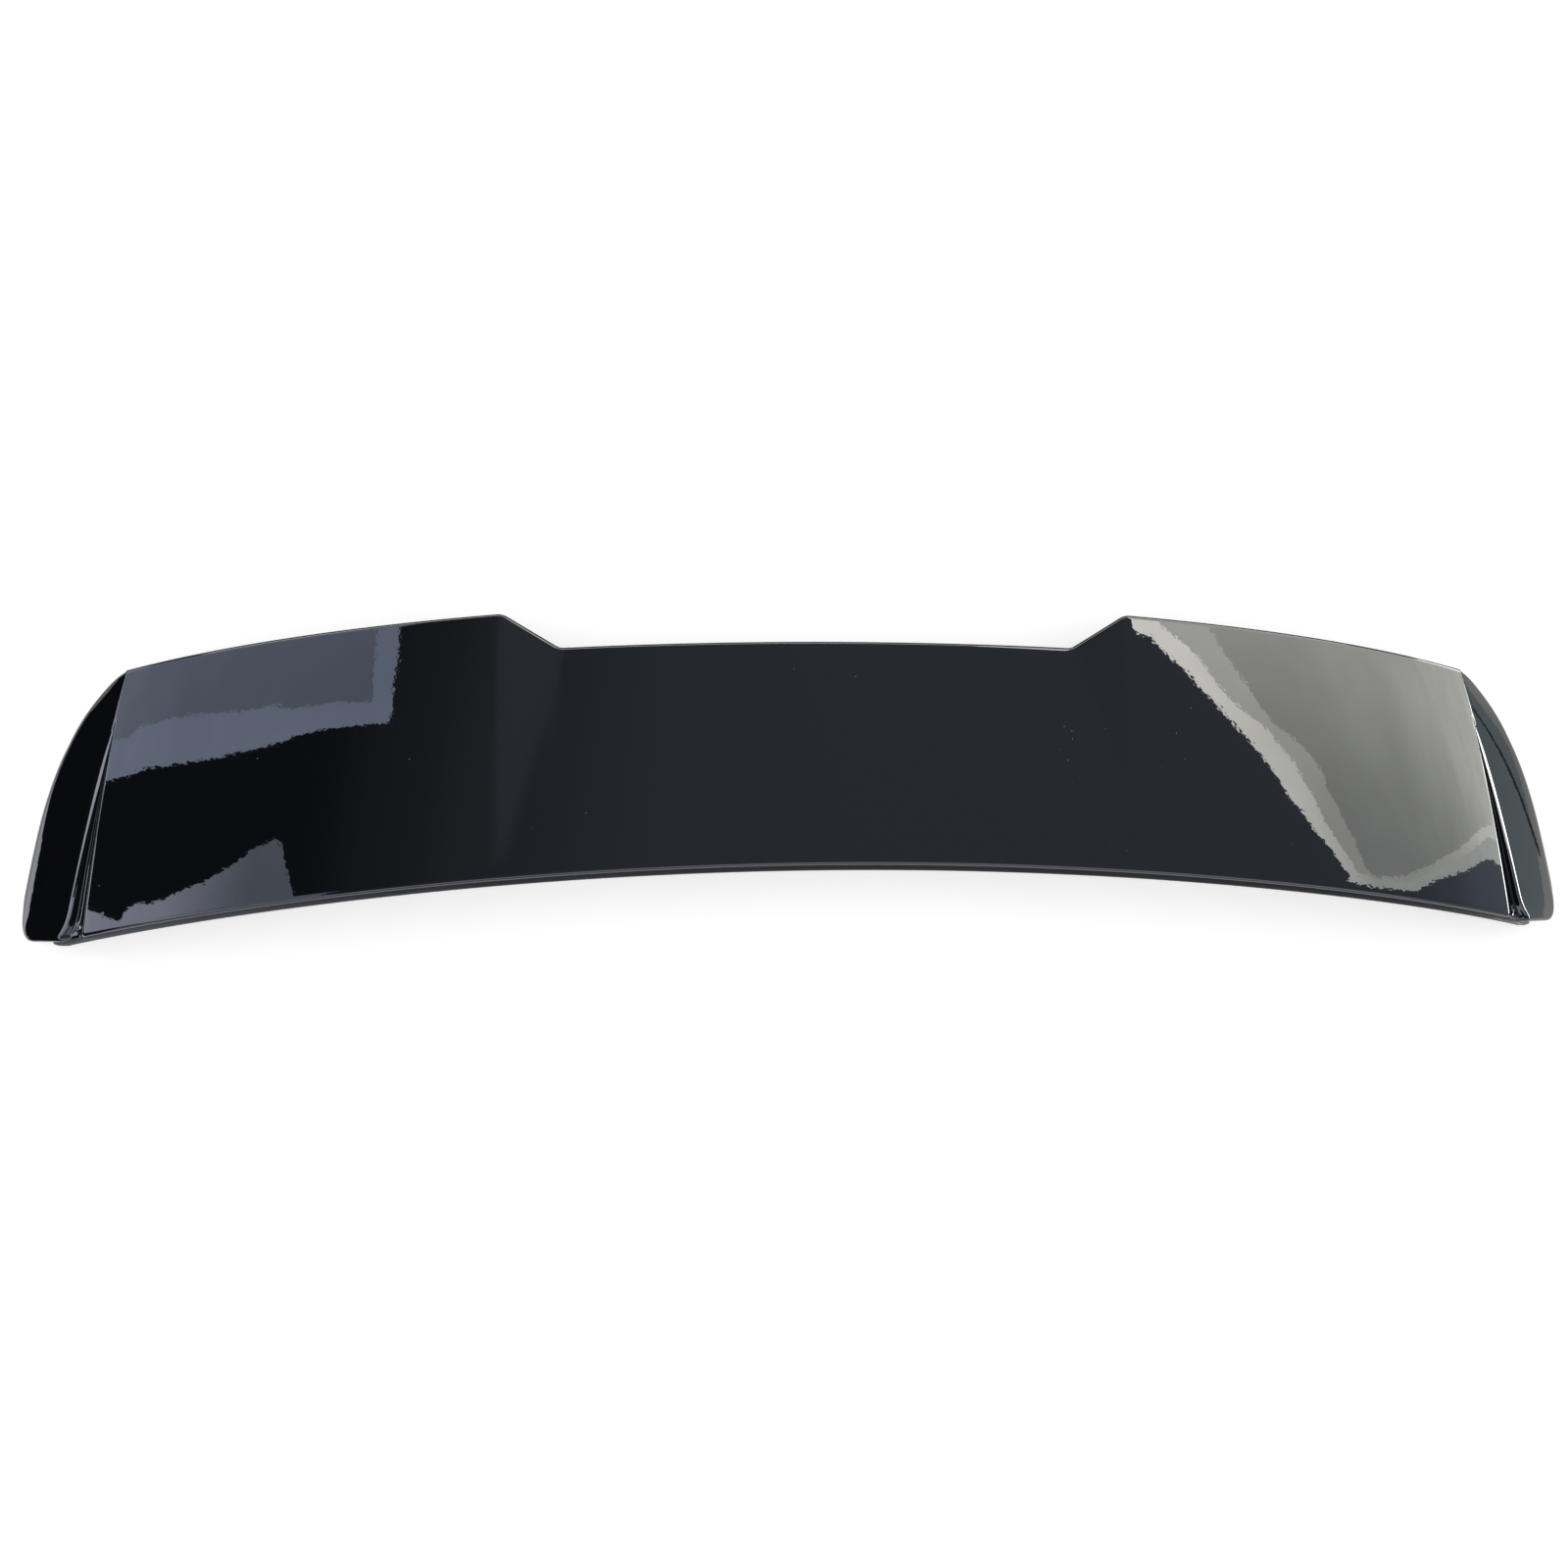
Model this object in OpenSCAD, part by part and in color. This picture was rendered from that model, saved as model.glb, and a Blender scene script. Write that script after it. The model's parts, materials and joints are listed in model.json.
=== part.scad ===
// Roof spoiler for a hatchback tailgate: a gloss outer skin bonded over a satin lower skin.
// X runs across the car, +Y runs rearward, +Z is up; the cheek feet and the rear corners lie on z = 0.

/* [Blade plan] */
// Width of the blade between its side channels, at the leading edge
lead_w = 1070; // [1000:1:1140]
// Width of the blade at its trailing corners
trail_w = 1032; // [970:1:1060]
// How far the side edge of the blade bellies out between its corners
side_belly = 4.5; // [0:0.5:12]
// Chord of the blade at its ends
end_chord = 199.5; // [170:0.5:240]
// How far the middle of the leading edge is bowed to the rear
lead_bow = 44.8; // [20:0.2:60]
// How far the middle of the trailing edge would be bowed to the rear without the notch
trail_bow = 47.4; // [30:0.2:70]

/* [Centre notch] */
// Width of the notch at the trailing edge, over its slanted ends
notch_outer_w = 475; // [420:1:560]
// Width of the notch floor
notch_inner_w = 390.5; // [320:0.5:410]
// Distance of the notch floor's ends behind the blade's front corners
notch_y = 211.3; // [190:0.1:225]
// Bow of the notch floor
notch_bow = 5; // [0:0.5:12]
// How much lower the middle panel lies than the outer panels at the trailing edge
panel_step = 5; // [0:0.5:10]

/* [Blade section] */
// Slope of the blade, down to the rear, in degrees
pitch = 9.9; // [7:0.1:13]
// Drop of the blade's ends below its middle
crown_drop = 43.5; // [25:0.5:60]
// How late the drop towards the ends begins (2 is round, 6 is flat in the middle)
crown_power = 5.7; // [3:0.1:7]
// Rise of the blade's middle over its chord line
camber = 3; // [0:0.5:8]

/* [Edges and wall] */
// Wall of the outer skin
skin_wall = 2.5; // [2:0.1:3]
// Radius of the rolled leading edge
lead_roll = 3.5; // [3.2:0.1:5]
// Radius of the rolled trailing edge
rear_roll = 4; // [3.5:0.1:6]
// Height of the front flange, from the blade down to the lower skin
lead_h = 12; // [11:0.5:18]
// Height of the trailing flange in the middle of the blade
rear_h = 15; // [12:0.5:20]

/* [Side channels] */
// Width of a side channel at the leading edge
channel_w = 12.5; // [9:0.5:18]
// Depth of a side channel at the leading edge
channel_d = 6.5; // [3:0.5:7.5]
// Share of the chord over which a channel fades out
channel_run = 0.81; // [0.6:0.01:0.95]
// How far the outer wall of a channel flares out at its mouth
mouth_flare = 4; // [0:0.5:6]
// Length of the flare, from the blade's front end
mouth_len = 9; // [6:0.5:16]
// Radius of the drain hole at the foot of each channel
drain_r = 1.8; // [1.5:0.1:2.2]
// Radius of the dimple that the drain hole lies in
sink_r = 2.6; // [2.4:0.1:3]
// Distance of the drain hole from the blade's leading edge
drain_y = 7.5; // [7:0.5:30]

/* [Cheeks] */
// Widest part of a cheek's top, from the crest outwards
cheek_w = 44.8; // [36:0.2:54]
// How much narrower a cheek is at its front
cheek_front_cut = 1.2; // [0:0.1:8]
// Where along the chord a cheek is widest
cheek_wide_at = 0.377; // [0.3:0.001:0.55]
// Fullness of a cheek's rear outline (2 is an ellipse)
cheek_fullness = 1.93; // [1.7:0.01:2.4]
// Radius of a cheek's front corner, in plan
cheek_corner = 15; // [10:0.5:22]
// How much steeper a cheek falls than the end of the blade beside it, in degrees
cheek_slope = 7; // [3:0.5:12]
// Radius by which a cheek's top curves down
cheek_curve = 800; // [400:20:1200]
// Radius of the roll from a cheek's top into its side
cheek_roll = 16; // [10:0.5:18]
// Upright skirt left below the lowest part of a cheek's roll
skirt = 4; // [2:0.5:12]

/* [Lower skin] */
// Wall of the lower skin
lower_wall = 2.6; // [2:0.1:3.5]
// How far the lower skin's ledge stands out in front of the outer skin
ledge = 4; // [2:0.5:7]
// Depth of the lower skin's underside below the blade's surface
pan_depth = 30; // [26:0.5:36]
// Width of the full-depth pan
pan_w = 940; // [880:5:980]
// Distance between the stiffening ribs under the pan
rib_pitch = 60; // [45:5:90]
// Height of a rib below the pan
rib_h = 2.5; // [1:0.5:3]
// Width of a rib
rib_w = 2; // [1.6:0.1:2.6]
// Glue gap between the two skins
bond = 0.2; // [0.1:0.05:0.3]

/* [Fixings] */
// Distance between the two inner screw inserts
inner_pitch = 300; // [240:5:420]
// Distance between the two outer screw inserts
outer_pitch = 760; // [620:5:800]
// Distance of the inserts behind the blade's front corners, inner pair
inner_y = 118; // [105:1:140]
// Distance of the inserts behind the blade's front corners, outer pair
outer_y = 100; // [85:1:115]
// Thread radius of an insert
thread_r = 3; // [2.5:0.5:4]
// Outer radius of an insert
insert_r = 4.4; // [4.2:0.1:6]
// Length of an insert
insert_len = 12.5; // [10:0.5:16]
// Radius of the screw boss
boss_r = 9; // [8:0.5:12]
// How far a boss or a pin's shoulder stands below the lowest part of the pan round it
boss_stand = 1; // [1:0.5:6]
// Outer radius of the foam washer at each boss
washer_r = 13; // [11:0.5:18]
// Thickness of the foam washer
washer_t = 3; // [2:0.5:5]
// Distance between the two locating pins
pin_pitch = 540; // [480:5:600]
// Radius of a locating pin
pin_r = 4; // [3:0.5:6]
// Length of a locating pin below its shoulder
pin_len = 12; // [8:1:16]
// Radius of the flat shoulder at a pin's root
shoulder_r = 8; // [7:0.5:11]

/* [Tape and foam] */
// Width of the adhesive tape under the front ledge
tape_w = 11; // [8:0.5:13]
// Thickness of the adhesive tape
tape_t = 1.2; // [0.8:0.1:2]
// Thickness of the foam strip inside each cheek
cheek_foam_t = 3; // [2:0.5:5]

/* [Hidden] */
$fn = 48;

// Columns across one half: middle panel, ramp, outer panel, channel, cheek
mid_cols = 5;
outer_cols = 8;
channel_cols = 6;
cheek_cols = 4;
col_in = mid_cols;
col_out = col_in + 1;
col_edge = col_out + outer_cols;
col_crest = col_edge + channel_cols;
col_rim = col_crest + cheek_cols;
rows = 16;
roll_steps = 4;

half_lead = lead_w / 2;
half_trail = trail_w / 2;
notch_x = notch_outer_w / 2;
floor_x = notch_inner_w / 2;
// Narrow front end of the ramp between middle and outer panel
ramp_nose = 4;
// Blade strip beside the channel, where the wall thickens
edge_strip = 3;
channel_min_w = 1;
// Width of a cheek's top at the trailing corner, and its sweep there
cheek_tail = 6;
cheek_tail_sweep = 0.5;
crest_r = 5;
// Share of the chord over which the front edge's roll grows to the cheek's
roll_grow = 0.15;
// Section of a channel: 1 is a half sine wave, less is squarer; its underside starts part of the way down
channel_squareness = 0.8;
under_start = 0.12;
// Least run, in plan, that a rim's slope is measured over
slope_run = 0.2;
// How far a cutting cylinder reaches past what it cuts
cut = 1;

function lerp(a, b, t) = a + (b - a) * t;
function unit(t) = max(0, min(1, t));
function ease(t) = t * t * (3 - 2 * t);
function row_v(j) = 0.5 - 0.5 * cos(180 * j / rows);

// Plan curves of the blade
function lead_y(x) = lead_bow * (1 - pow(x / half_lead, 2));
function rear_y(x) = end_chord + trail_bow * (1 - pow(x / half_trail, 2));
function floor_y(x) = notch_y + notch_bow * (1 - pow(x / floor_x, 2));
function notch_t(x) = unit((abs(x) - floor_x) / (notch_x - floor_x));
function trail_y(x) = abs(x) < floor_x ? floor_y(x)
    : abs(x) > notch_x ? rear_y(x)
    : lerp(notch_y, rear_y(notch_x), notch_t(x));
function edge_x(v) = half_lead + (half_trail - half_lead + side_belly) * v - side_belly * pow(v, 4);
function ramp_x(v) = notch_x - ramp_nose - (notch_x - floor_x - ramp_nose) * v;
// Share of a channel's full width and depth that is left, and the flare of its mouth
function channel_left(v) = max(0, 1 - v / channel_run);
function mouth(v) = mouth_flare * pow(unit(1 - v * end_chord / mouth_len), 2);
function gap_w(v) = max(channel_min_w, channel_w * channel_left(v)) + mouth(v);
function crest_x(v) = edge_x(v) + gap_w(v);

// Width of a cheek's top along the chord
function cheek_full(v) = v < cheek_wide_at
    ? cheek_w - cheek_front_cut * pow((cheek_wide_at - v) / cheek_wide_at, 2)
    : cheek_tail + (cheek_w - cheek_tail)
        * pow(1 - pow((v - cheek_wide_at) / (1 - cheek_wide_at), cheek_fullness), 1 / cheek_fullness);
function corner_cut(y) = y < cheek_corner
    ? cheek_corner - sqrt(pow(cheek_corner, 2) - pow(cheek_corner - y, 2)) : 0;
function cheek_top(v) = cheek_full(v) - corner_cut(v * end_chord);

// Slope of the blade across the car, in degrees
crown_m = crown_power * crown_drop / half_lead;
function crown_angle(x) = atan(crown_m * pow(abs(x) / half_lead, crown_power - 1));
// Fall of a cheek's top below its crest, and its slope; it starts in line with the blade
// and turns down in an arc
function crest_run(from) = crest_r * (sin(from + cheek_slope) - sin(from));
function cheek_fall(s, v) = let (
    from = crown_angle(crest_x(v)),
    run = crest_run(from),
    past = max(0, s - run))
    crest_r * (cos(from) - sqrt(1 - pow(min(s, run) / crest_r + sin(from), 2)))
        + tan(from + cheek_slope) * past + past * past / (2 * cheek_curve);
function cheek_angle(s, v) = let (
    from = crown_angle(crest_x(v)),
    run = crest_run(from))
    s < run ? asin(s / crest_r + sin(from)) : atan(tan(from + cheek_slope) + (s - run) / cheek_curve);

// Height of the blade's surface, without channels
function ramp_t(x, v) = unit((abs(x) - ramp_x(v)) / (notch_x - ramp_x(v)));
function blade_y(x, v) = lerp(lead_y(x) + lead_roll, trail_y(x) - rear_roll, v);
function raw_z(x, v) = -crown_drop * pow(abs(x) / half_lead, crown_power)
    - tan(pitch) * blade_y(x, v)
    + camber * 4 * v * (1 - v)
    - panel_step * v * (1 - ramp_t(x, v));

// One column of the grid: blade x, cheek share, channel share
function blade_x(c, v) = c <= col_in ? ramp_x(v) * c / col_in
    : c < col_edge ? lerp(notch_x, edge_x(v) - edge_strip, (c - col_out) / (outer_cols - 1))
    : c < col_crest ? edge_x(v) + gap_w(v) * (c - col_edge) / channel_cols
    : crest_x(v);
function cheek_share(c) = max(0, c - col_crest) / cheek_cols;
function channel_share(c) = unit((c - col_edge) / channel_cols);
function gap_depth(v) = channel_d * channel_left(v);
function channel_drop(c, v) = gap_depth(v) * pow(sin(180 * channel_share(c)), channel_squareness);
// Underside of the channel is wider than its top, so its walls keep their thickness
function under_drop(c, v) = c < col_edge || c > col_crest ? 0
    : gap_depth(v) * sqrt(sin(180 * lerp(under_start, 1 - under_start, channel_share(c))));

function base_point(c, v) =
    let (a = abs(c), x = blade_x(a, v), s = cheek_share(a) * cheek_top(v))
    [sign(c) * (x + s), blade_y(x, v) - cheek_tail_sweep * s * pow(v, 6), raw_z(x, v) - cheek_fall(s, v)];
function raw_top(c, v) = base_point(c, v) - [0, 0, channel_drop(abs(c), v)];
function side_angle(c, v) = c > col_crest ? cheek_angle(cheek_share(c) * cheek_top(v), v)
    : crown_angle(blade_x(c, v));
function under_offset(c, v) = under_drop(abs(c), v) + skin_wall / cos(side_angle(abs(c), v));
function raw_under(c, v) = base_point(c, v) - [0, 0, under_offset(c, v)];

// The rim runs once round the skin: front, right side, rear, left side
rim = concat([for (c = [-col_rim : col_rim]) [c, 0]],
             [for (j = [1 : rows]) [col_rim, j]],
             [for (c = [col_rim - 1 : -1 : -col_rim]) [c, rows]],
             [for (j = [rows - 1 : -1 : 1]) [-col_rim, j]]);
rim_n = len(rim);
function rim_at(k) = rim[(k + rim_n) % rim_n];
function rim_raw(k) = let (g = rim_at(k)) base_point(g[0], row_v(g[1]));
function rim_normal(k) =
    let (d = rim_raw(k + 1) - rim_raw(k - 1), l = norm([d[0], d[1]]))
    [d[1] / l, -d[0] / l, 0];
// Neighbour of a rim point, one step into the skin
function rim_inward(k) =
    let (g = rim_at(k),
         c = abs(g[0]) == col_rim ? g[0] - sign(g[0]) : g[0],
         j = g[1] == 0 ? 1 : g[1] == rows ? rows - 1 : g[1])
    base_point(c, row_v(j));
function rim_slope(k) =
    let (d = rim_raw(k) - rim_inward(k), n = rim_normal(k))
    atan2(-d[2], max(slope_run, d[0] * n[0] + d[1] * n[1]));
function side_roll(v) = v < roll_grow ? lerp(lead_roll, cheek_roll, ease(v / roll_grow))
    : lerp(cheek_roll, rear_roll, (v - roll_grow) / (1 - roll_grow));
function rim_roll(k) = let (g = rim_at(k))
    g[1] == 0 ? lead_roll : g[1] == rows ? rear_roll : side_roll(row_v(g[1]));

rim_out = [for (k = [0 : rim_n - 1]) rim_normal(k)];
rim_tilt = [for (k = [0 : rim_n - 1]) rim_slope(k)];
rim_rad = [for (k = [0 : rim_n - 1]) rim_roll(k)];

// Floor of the whole part: the skirt hangs below the lowest roll of the cheeks
side_first = 2 * col_rim + 1;
side_last = 2 * col_rim + rows;
roll_foot = [for (k = [side_first : side_last]) rim_raw(k)[2] - rim_rad[k] * cos(rim_tilt[k])];
foot_z = min(roll_foot) - skirt;
// Middle of the part along Y, over the front ledge or cheek and the rear corners of the notch
rim_y = [for (k = [0 : rim_n - 1]) rim_raw(k)[1] + rim_out[k][1] * rim_rad[k] * (1 - sin(rim_tilt[k]))];
front_y = min(blade_y(blade_x(col_crest, 0), 0) - lead_roll - ledge, min(rim_y));
back_y = max(rim_y);
origin = [0, (front_y + back_y) / 2, foot_z];

function top_point(c, v) = raw_top(c, v) - origin;
function under_point(c, v) = raw_under(c, v) - origin;
function blade_z(x, v) = raw_z(x, v) - foot_z;
function corner_z() = blade_z(crest_x(1), 1);

// Lower end of the flange at each rim point
function flange_z(k) =
    let (g = rim_at(k), a = abs(g[0]), v = row_v(g[1]), x = blade_x(a, v))
    g[1] > 0 && g[1] < rows ? 0
    : g[1] == 0 ? lerp(blade_z(x, 0) - lead_h, 0, ease(cheek_share(a)))
    : max(0, blade_z(x, 1) - lerp(rear_h, corner_z(), pow(x / crest_x(1), 2)));

// Points of the rolled edge; depth is 0 on the outside and skin_wall on the inside
function rim_base(k, depth) =
    let (g = rim_at(k), a = abs(g[0]), v = row_v(g[1]),
         drop = depth > 0 ? under_drop(a, v) : channel_drop(a, v))
    base_point(g[0], v) - origin - [0, 0, drop];
function roll_point(k, q, depth) =
    let (t0 = rim_tilt[k], t = lerp(t0, 90, q / roll_steps), r = rim_rad[k])
    rim_base(k, depth) - r * (rim_out[k] * sin(t0) + [0, 0, cos(t0)])
        + (r - depth) * (rim_out[k] * sin(t) + [0, 0, cos(t)]);
function flange_point(k, depth) =
    let (p = roll_point(k, roll_steps, depth))
    [p[0], p[1], flange_z(k)];

function is_rim(c, j) = abs(c) == col_rim || j == 0 || j == rows;
function rim_index(c, j) = j == 0 ? c + col_rim
    : c == col_rim ? 2 * col_rim + j
    : j == rows ? 2 * col_rim + rows + (col_rim - c)
    : 4 * col_rim + rows + (rows - j);
function skin_under(c, j) = is_rim(c, j) ? roll_point(rim_index(c, j), 0, skin_wall)
    : under_point(c, row_v(j));

// Closed skin from an outer and an inner sheet that meet at the rim
cols = 2 * col_rim + 1;
sheet_n = cols * (rows + 1);
band_n = roll_steps + 1;
function grid_id(c, j, side) = side * (sheet_n + band_n * rim_n) + j * cols + c + col_rim;
function band_id(k, q, side) = q == 0
    ? grid_id(rim_at(k)[0], rim_at(k)[1], side)
    : side * (sheet_n + band_n * rim_n) + sheet_n + (q - 1) * rim_n + (k % rim_n);
function quad(a, b, c, d) = [[a, b, c], [a, c, d]];
function flip(tris) = [for (t = tris) [t[2], t[1], t[0]]];

module shell_skin() {
    outer = concat([for (j = [0 : rows]) for (c = [-col_rim : col_rim]) top_point(c, row_v(j))],
                   [for (q = [1 : roll_steps]) for (k = [0 : rim_n - 1]) roll_point(k, q, 0)],
                   [for (k = [0 : rim_n - 1]) flange_point(k, 0)]);
    inner = concat([for (j = [0 : rows]) for (c = [-col_rim : col_rim]) skin_under(c, j)],
                   [for (q = [1 : roll_steps]) for (k = [0 : rim_n - 1]) roll_point(k, q, skin_wall)],
                   [for (k = [0 : rim_n - 1]) flange_point(k, skin_wall)]);
    sheet = function (side) [for (j = [0 : rows - 1]) for (c = [-col_rim : col_rim - 1])
        each quad(grid_id(c, j, side), grid_id(c, j + 1, side),
                  grid_id(c + 1, j + 1, side), grid_id(c + 1, j, side))];
    band = function (side) [for (q = [0 : band_n - 1]) for (k = [0 : rim_n - 1])
        each quad(band_id(k, q, side), band_id(k + 1, q, side),
                  band_id(k + 1, q + 1, side), band_id(k, q + 1, side))];
    foot = [for (k = [0 : rim_n - 1])
        each quad(band_id(k, band_n, 0), band_id(k + 1, band_n, 0),
                  band_id(k + 1, band_n, 1), band_id(k, band_n, 1))];
    polyhedron(points = concat(outer, inner),
               faces = concat(sheet(0), band(0), foot, flip(sheet(1)), flip(band(1))));
}

// Drain hole at the foot of each channel; the lower skin's holes are wider
drain_v = (drain_y - lead_roll) / end_chord;
drain_x = edge_x(drain_v) + gap_w(drain_v) / 2;
drain_z = blade_z(drain_x, drain_v) - gap_depth(drain_v);
drain_reach = pan_depth;
sink_depth = 1;

module at_drains(up) {
    for (side = [-1, 1])
        translate([side * drain_x, blade_y(drain_x, drain_v) - origin[1], drain_z + up]) children();
}
drain_room = 0.9;
module drain_holes(room) {
    at_drains(-drain_reach) cylinder(r = drain_r + room, h = drain_reach + lead_h);
}
module drain_dimples() {
    at_drains(-sink_depth) cylinder(r1 = drain_r, r2 = sink_r, h = sink_depth);
    at_drains(0) cylinder(r = sink_r, h = lead_h);
}

module upper_skin() {
    color([0.04, 0.045, 0.05])
    difference() {
        shell_skin();
        drain_holes(0);
        drain_dimples();
    }
}

// Lower skin: a ledge under the front flange, a pan, and a lip behind the trailing flange
ledge_end = 22;
col_last = col_edge + 3;
col_tab = col_crest;
// The pan has faded out this far inside the blade's trailing corner
pan_end_gap = 6;
function fade_x(x) = 1 - unit((abs(x) - pan_w / 2) / (half_trail - pan_end_gap - pan_w / 2));
// Extra room where the channels' undersides twist
channel_room = 0.3;
function seat_z(c, v) = under_point(c, v)[2] - bond - (abs(c) >= col_edge - 1 ? channel_room : 0);
function pan_z(x, v, depth) = blade_z(x, v) - lerp(lead_h + lower_wall, depth, ease(fade_x(x)));
function rear_face(c) = flange_point(rim_index(c, rows), skin_wall);

// Stations of the pan along the chord; its underside rises towards the rear by a share of what the lip needs
pan_front_v = 0.24;
pan_back_v = 0.80;
pan_rise = 0.35;
pan_back_depth = lerp(pan_depth, rear_h, pan_rise);
ledge_v = (ledge_end - lead_roll) / end_chord;
// The tab beyond the pan closes up in short steps of the chord, and in shorter ones along its edge
tab_step = 0.004;
tab_edge = 0.2;
// The shelf's upper corner lies behind the lower one, so that the wall between shelf and pan
// keeps its thickness
shelf_lean = 2;
// The lip ends below the rolled trailing edge, with room for its inside
lip_top_v = 0.99;
lip_room = 3;
// The tape's place, from the front of the ledge
tape_start = 6;
ledge_full = ledge + ledge_end;
// The ledge runs on as an ear in front of the cheek: the cheek columns that it passes, how far it
// reaches back into the shelf, how much thinner it is than the shelf, and its least width
ear_cols = 2;
ear_root = 3;
ear_inset = 0.3;
ear_tip = 0.6;
function skin_at(c, v, z) = let (p = under_point(c, v)) [p[0], p[1], z];
// The underside at one station: free in the pan, up against the outer skin at both ends
function low_z(c, v, depth) = abs(c) < col_edge
    ? min(pan_z(blade_x(abs(c), v), v, depth), seat_z(c, v) - lower_wall)
    : seat_z(c, v) - lower_wall;
function ledge_z(c, v) = min(blade_z(blade_x(min(abs(c), col_crest), v), v) - lead_h, seat_z(c, v));
function lower_ring(c) = let (
    tab = abs(c) > col_last,
    up = [0, 0, lower_wall],
    nose = skin_at(c, 0, ledge_z(c, 0)) - [0, lead_roll + ledge, 0],
    shelf = skin_at(c, ledge_v, ledge_z(c, ledge_v)),
    tape_a = lerp(nose, shelf, tape_start / ledge_full),
    tape_b = lerp(nose, shelf, (tape_start + tape_w) / ledge_full),
    ring = tab ? tab_ring(c) : pan_ring(c))
    concat([nose - up, tape_a - up, tape_b - up, shelf - up],
           ring,
           [shelf + [0, tab ? 0 : shelf_lean, 0], nose]);
// The pan and its lip, from the shelf round to the shelf's upper corner
function pan_ring(c) = let (
    up = [0, 0, lower_wall],
    front = skin_at(c, pan_front_v, low_z(c, pan_front_v, pan_depth)),
    rear = skin_at(c, pan_back_v, low_z(c, pan_back_v, pan_back_depth)),
    face = rear_face(c) - [0, bond, 0],
    inside = face - [0, lower_wall, 0],
    lip_z = seat_z(c, lip_top_v) - (abs(c) < col_edge ? lip_room : 0))
    [front, rear, face,
     [face[0], face[1], lip_z], [inside[0], inside[1], lip_z],
     inside + up, rear + up, front + up];
// The same points where the ledge runs on as a tab under the channel
function tab_ring(c) = let (
    up = [0, 0, lower_wall],
    tops = [for (k = [1 : 3]) let (v = ledge_v + k * tab_step) skin_at(c, v, ledge_z(c, v))],
    edge = [0, tab_edge, 0])
    [tops[0] - up, tops[1] - up, tops[2] - up,
     tops[2], tops[2] - edge, tops[2] - 2 * edge, tops[1], tops[0]];

// Section of the ear, t of the way along it
function ear_ring(side, t) = let (
    place = t * ear_cols,
    c = floor(place),
    near = flange_point(rim_index(side * (col_crest + c), 0), 0),
    far = flange_point(rim_index(side * (col_crest + c + 1), 0), 0),
    face = lerp(near, far, place - c) - [0, bond, 0],
    top = ledge_z(col_crest, 0) - ear_inset - cheek_fall(place / cheek_cols * cheek_top(0), 0),
    low = top - lower_wall + 2 * ear_inset,
    width = max(ear_tip, (ledge - bond - ear_inset) * sqrt(1 - t * t)))
    [[face[0], face[1] - width, low], [face[0], face[1], low],
     [face[0], face[1], top], [face[0], face[1] - width, top]];
module ledge_ear(side) {
    rings = [for (t = [0 : 0.25 : 1]) ear_ring(side, t)];
    rise = ear_root * tan(crown_angle(crest_x(0)));
    root = [for (p = rings[0]) p + [-side * ear_root, 0, rise]];
    all_rings = concat([root], rings);
    loft(side > 0 ? all_rings : back_to_front(all_rings));
}
function back_to_front(a) = [for (k = [len(a) - 1 : -1 : 0]) a[k]];

// Solid through rings of as many points; turn picks the diagonal that splits each face
module loft(rings, turn = 0) {
    n = len(rings[0]);
    m = len(rings);
    side = [for (i = [0 : m - 2]) for (k = [0 : n - 1])
        let (q = [i * n + k, (i + 1) * n + k, (i + 1) * n + (k + 1) % n, i * n + (k + 1) % n])
        each quad(q[turn], q[turn + 1], q[(turn + 2) % 4], q[(turn + 3) % 4])];
    first = [for (k = [0 : n - 1]) k];
    last = [for (k = [n - 1 : -1 : 0]) (m - 1) * n + k];
    polyhedron(points = [for (r = rings) each r], faces = concat(side, [first], [last]));
}

// Level of the pan's underside at any place in plan; y counts from the blade's front corners
function chord_v(x, y) = (y - blade_y(x, 0)) / (blade_y(x, 1) - blade_y(x, 0));
// Where the column that passes a place at share v lies at share w
function column_x(x, v, w) = let (a = abs(x), end = edge_x(v) - edge_strip, other = edge_x(w) - edge_strip)
    a < ramp_x(v) ? a * ramp_x(w) / ramp_x(v)
    : a < notch_x ? notch_x - (notch_x - a) * (notch_x - ramp_x(w)) / (notch_x - ramp_x(v))
    : notch_x + (a - notch_x) * (other - notch_x) / (end - notch_x);
function pan_under(x, y) = let (
    v = chord_v(x, y),
    front_x = column_x(x, v, pan_front_v),
    back_x = column_x(x, v, pan_back_v))
    lerp(pan_z(front_x, pan_front_v, pan_depth), pan_z(back_x, pan_back_v, pan_back_depth),
         (v - pan_front_v) / (pan_back_v - pan_front_v));
// Lowest part of the pan within a radius of a place
function pan_low(p, r) = min([for (a = [0 : 45 : 315]) pan_under(p[0] + r * cos(a), p[1] + r * sin(a))]);

// Screw bosses, left to right, each as [x, y]
bosses = [[-outer_pitch / 2, outer_y], [-inner_pitch / 2, inner_y],
          [inner_pitch / 2, inner_y], [outer_pitch / 2, outer_y]];
pins = [for (side = [-1, 1]) [side * pin_pitch / 2, (inner_y + outer_y) / 2]];
boss_cap = 3.5;
pin_tip = 3;
// A shoulder's height, up into the pan
shoulder_root = 5;
function pad_z(i) = pan_low(bosses[i], washer_r) - boss_stand;
function shoulder_z(i) = pan_low(pins[i], shoulder_r) - boss_stand;

module at_boss(i, up) {
    translate([bosses[i][0], bosses[i][1] - origin[1], pad_z(i) + up]) children();
}

module locating_pin(i) {
    translate([pins[i][0], pins[i][1] - origin[1], shoulder_z(i) - pin_len]) {
        cylinder(r1 = pin_r - pin_tip / 2, r2 = pin_r, h = pin_tip);
        translate([0, 0, pin_tip]) cylinder(r = pin_r, h = pin_len - pin_tip + shoulder_root);
        translate([0, 0, pin_len]) cylinder(r = shoulder_r, h = shoulder_root);
    }
}

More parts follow.
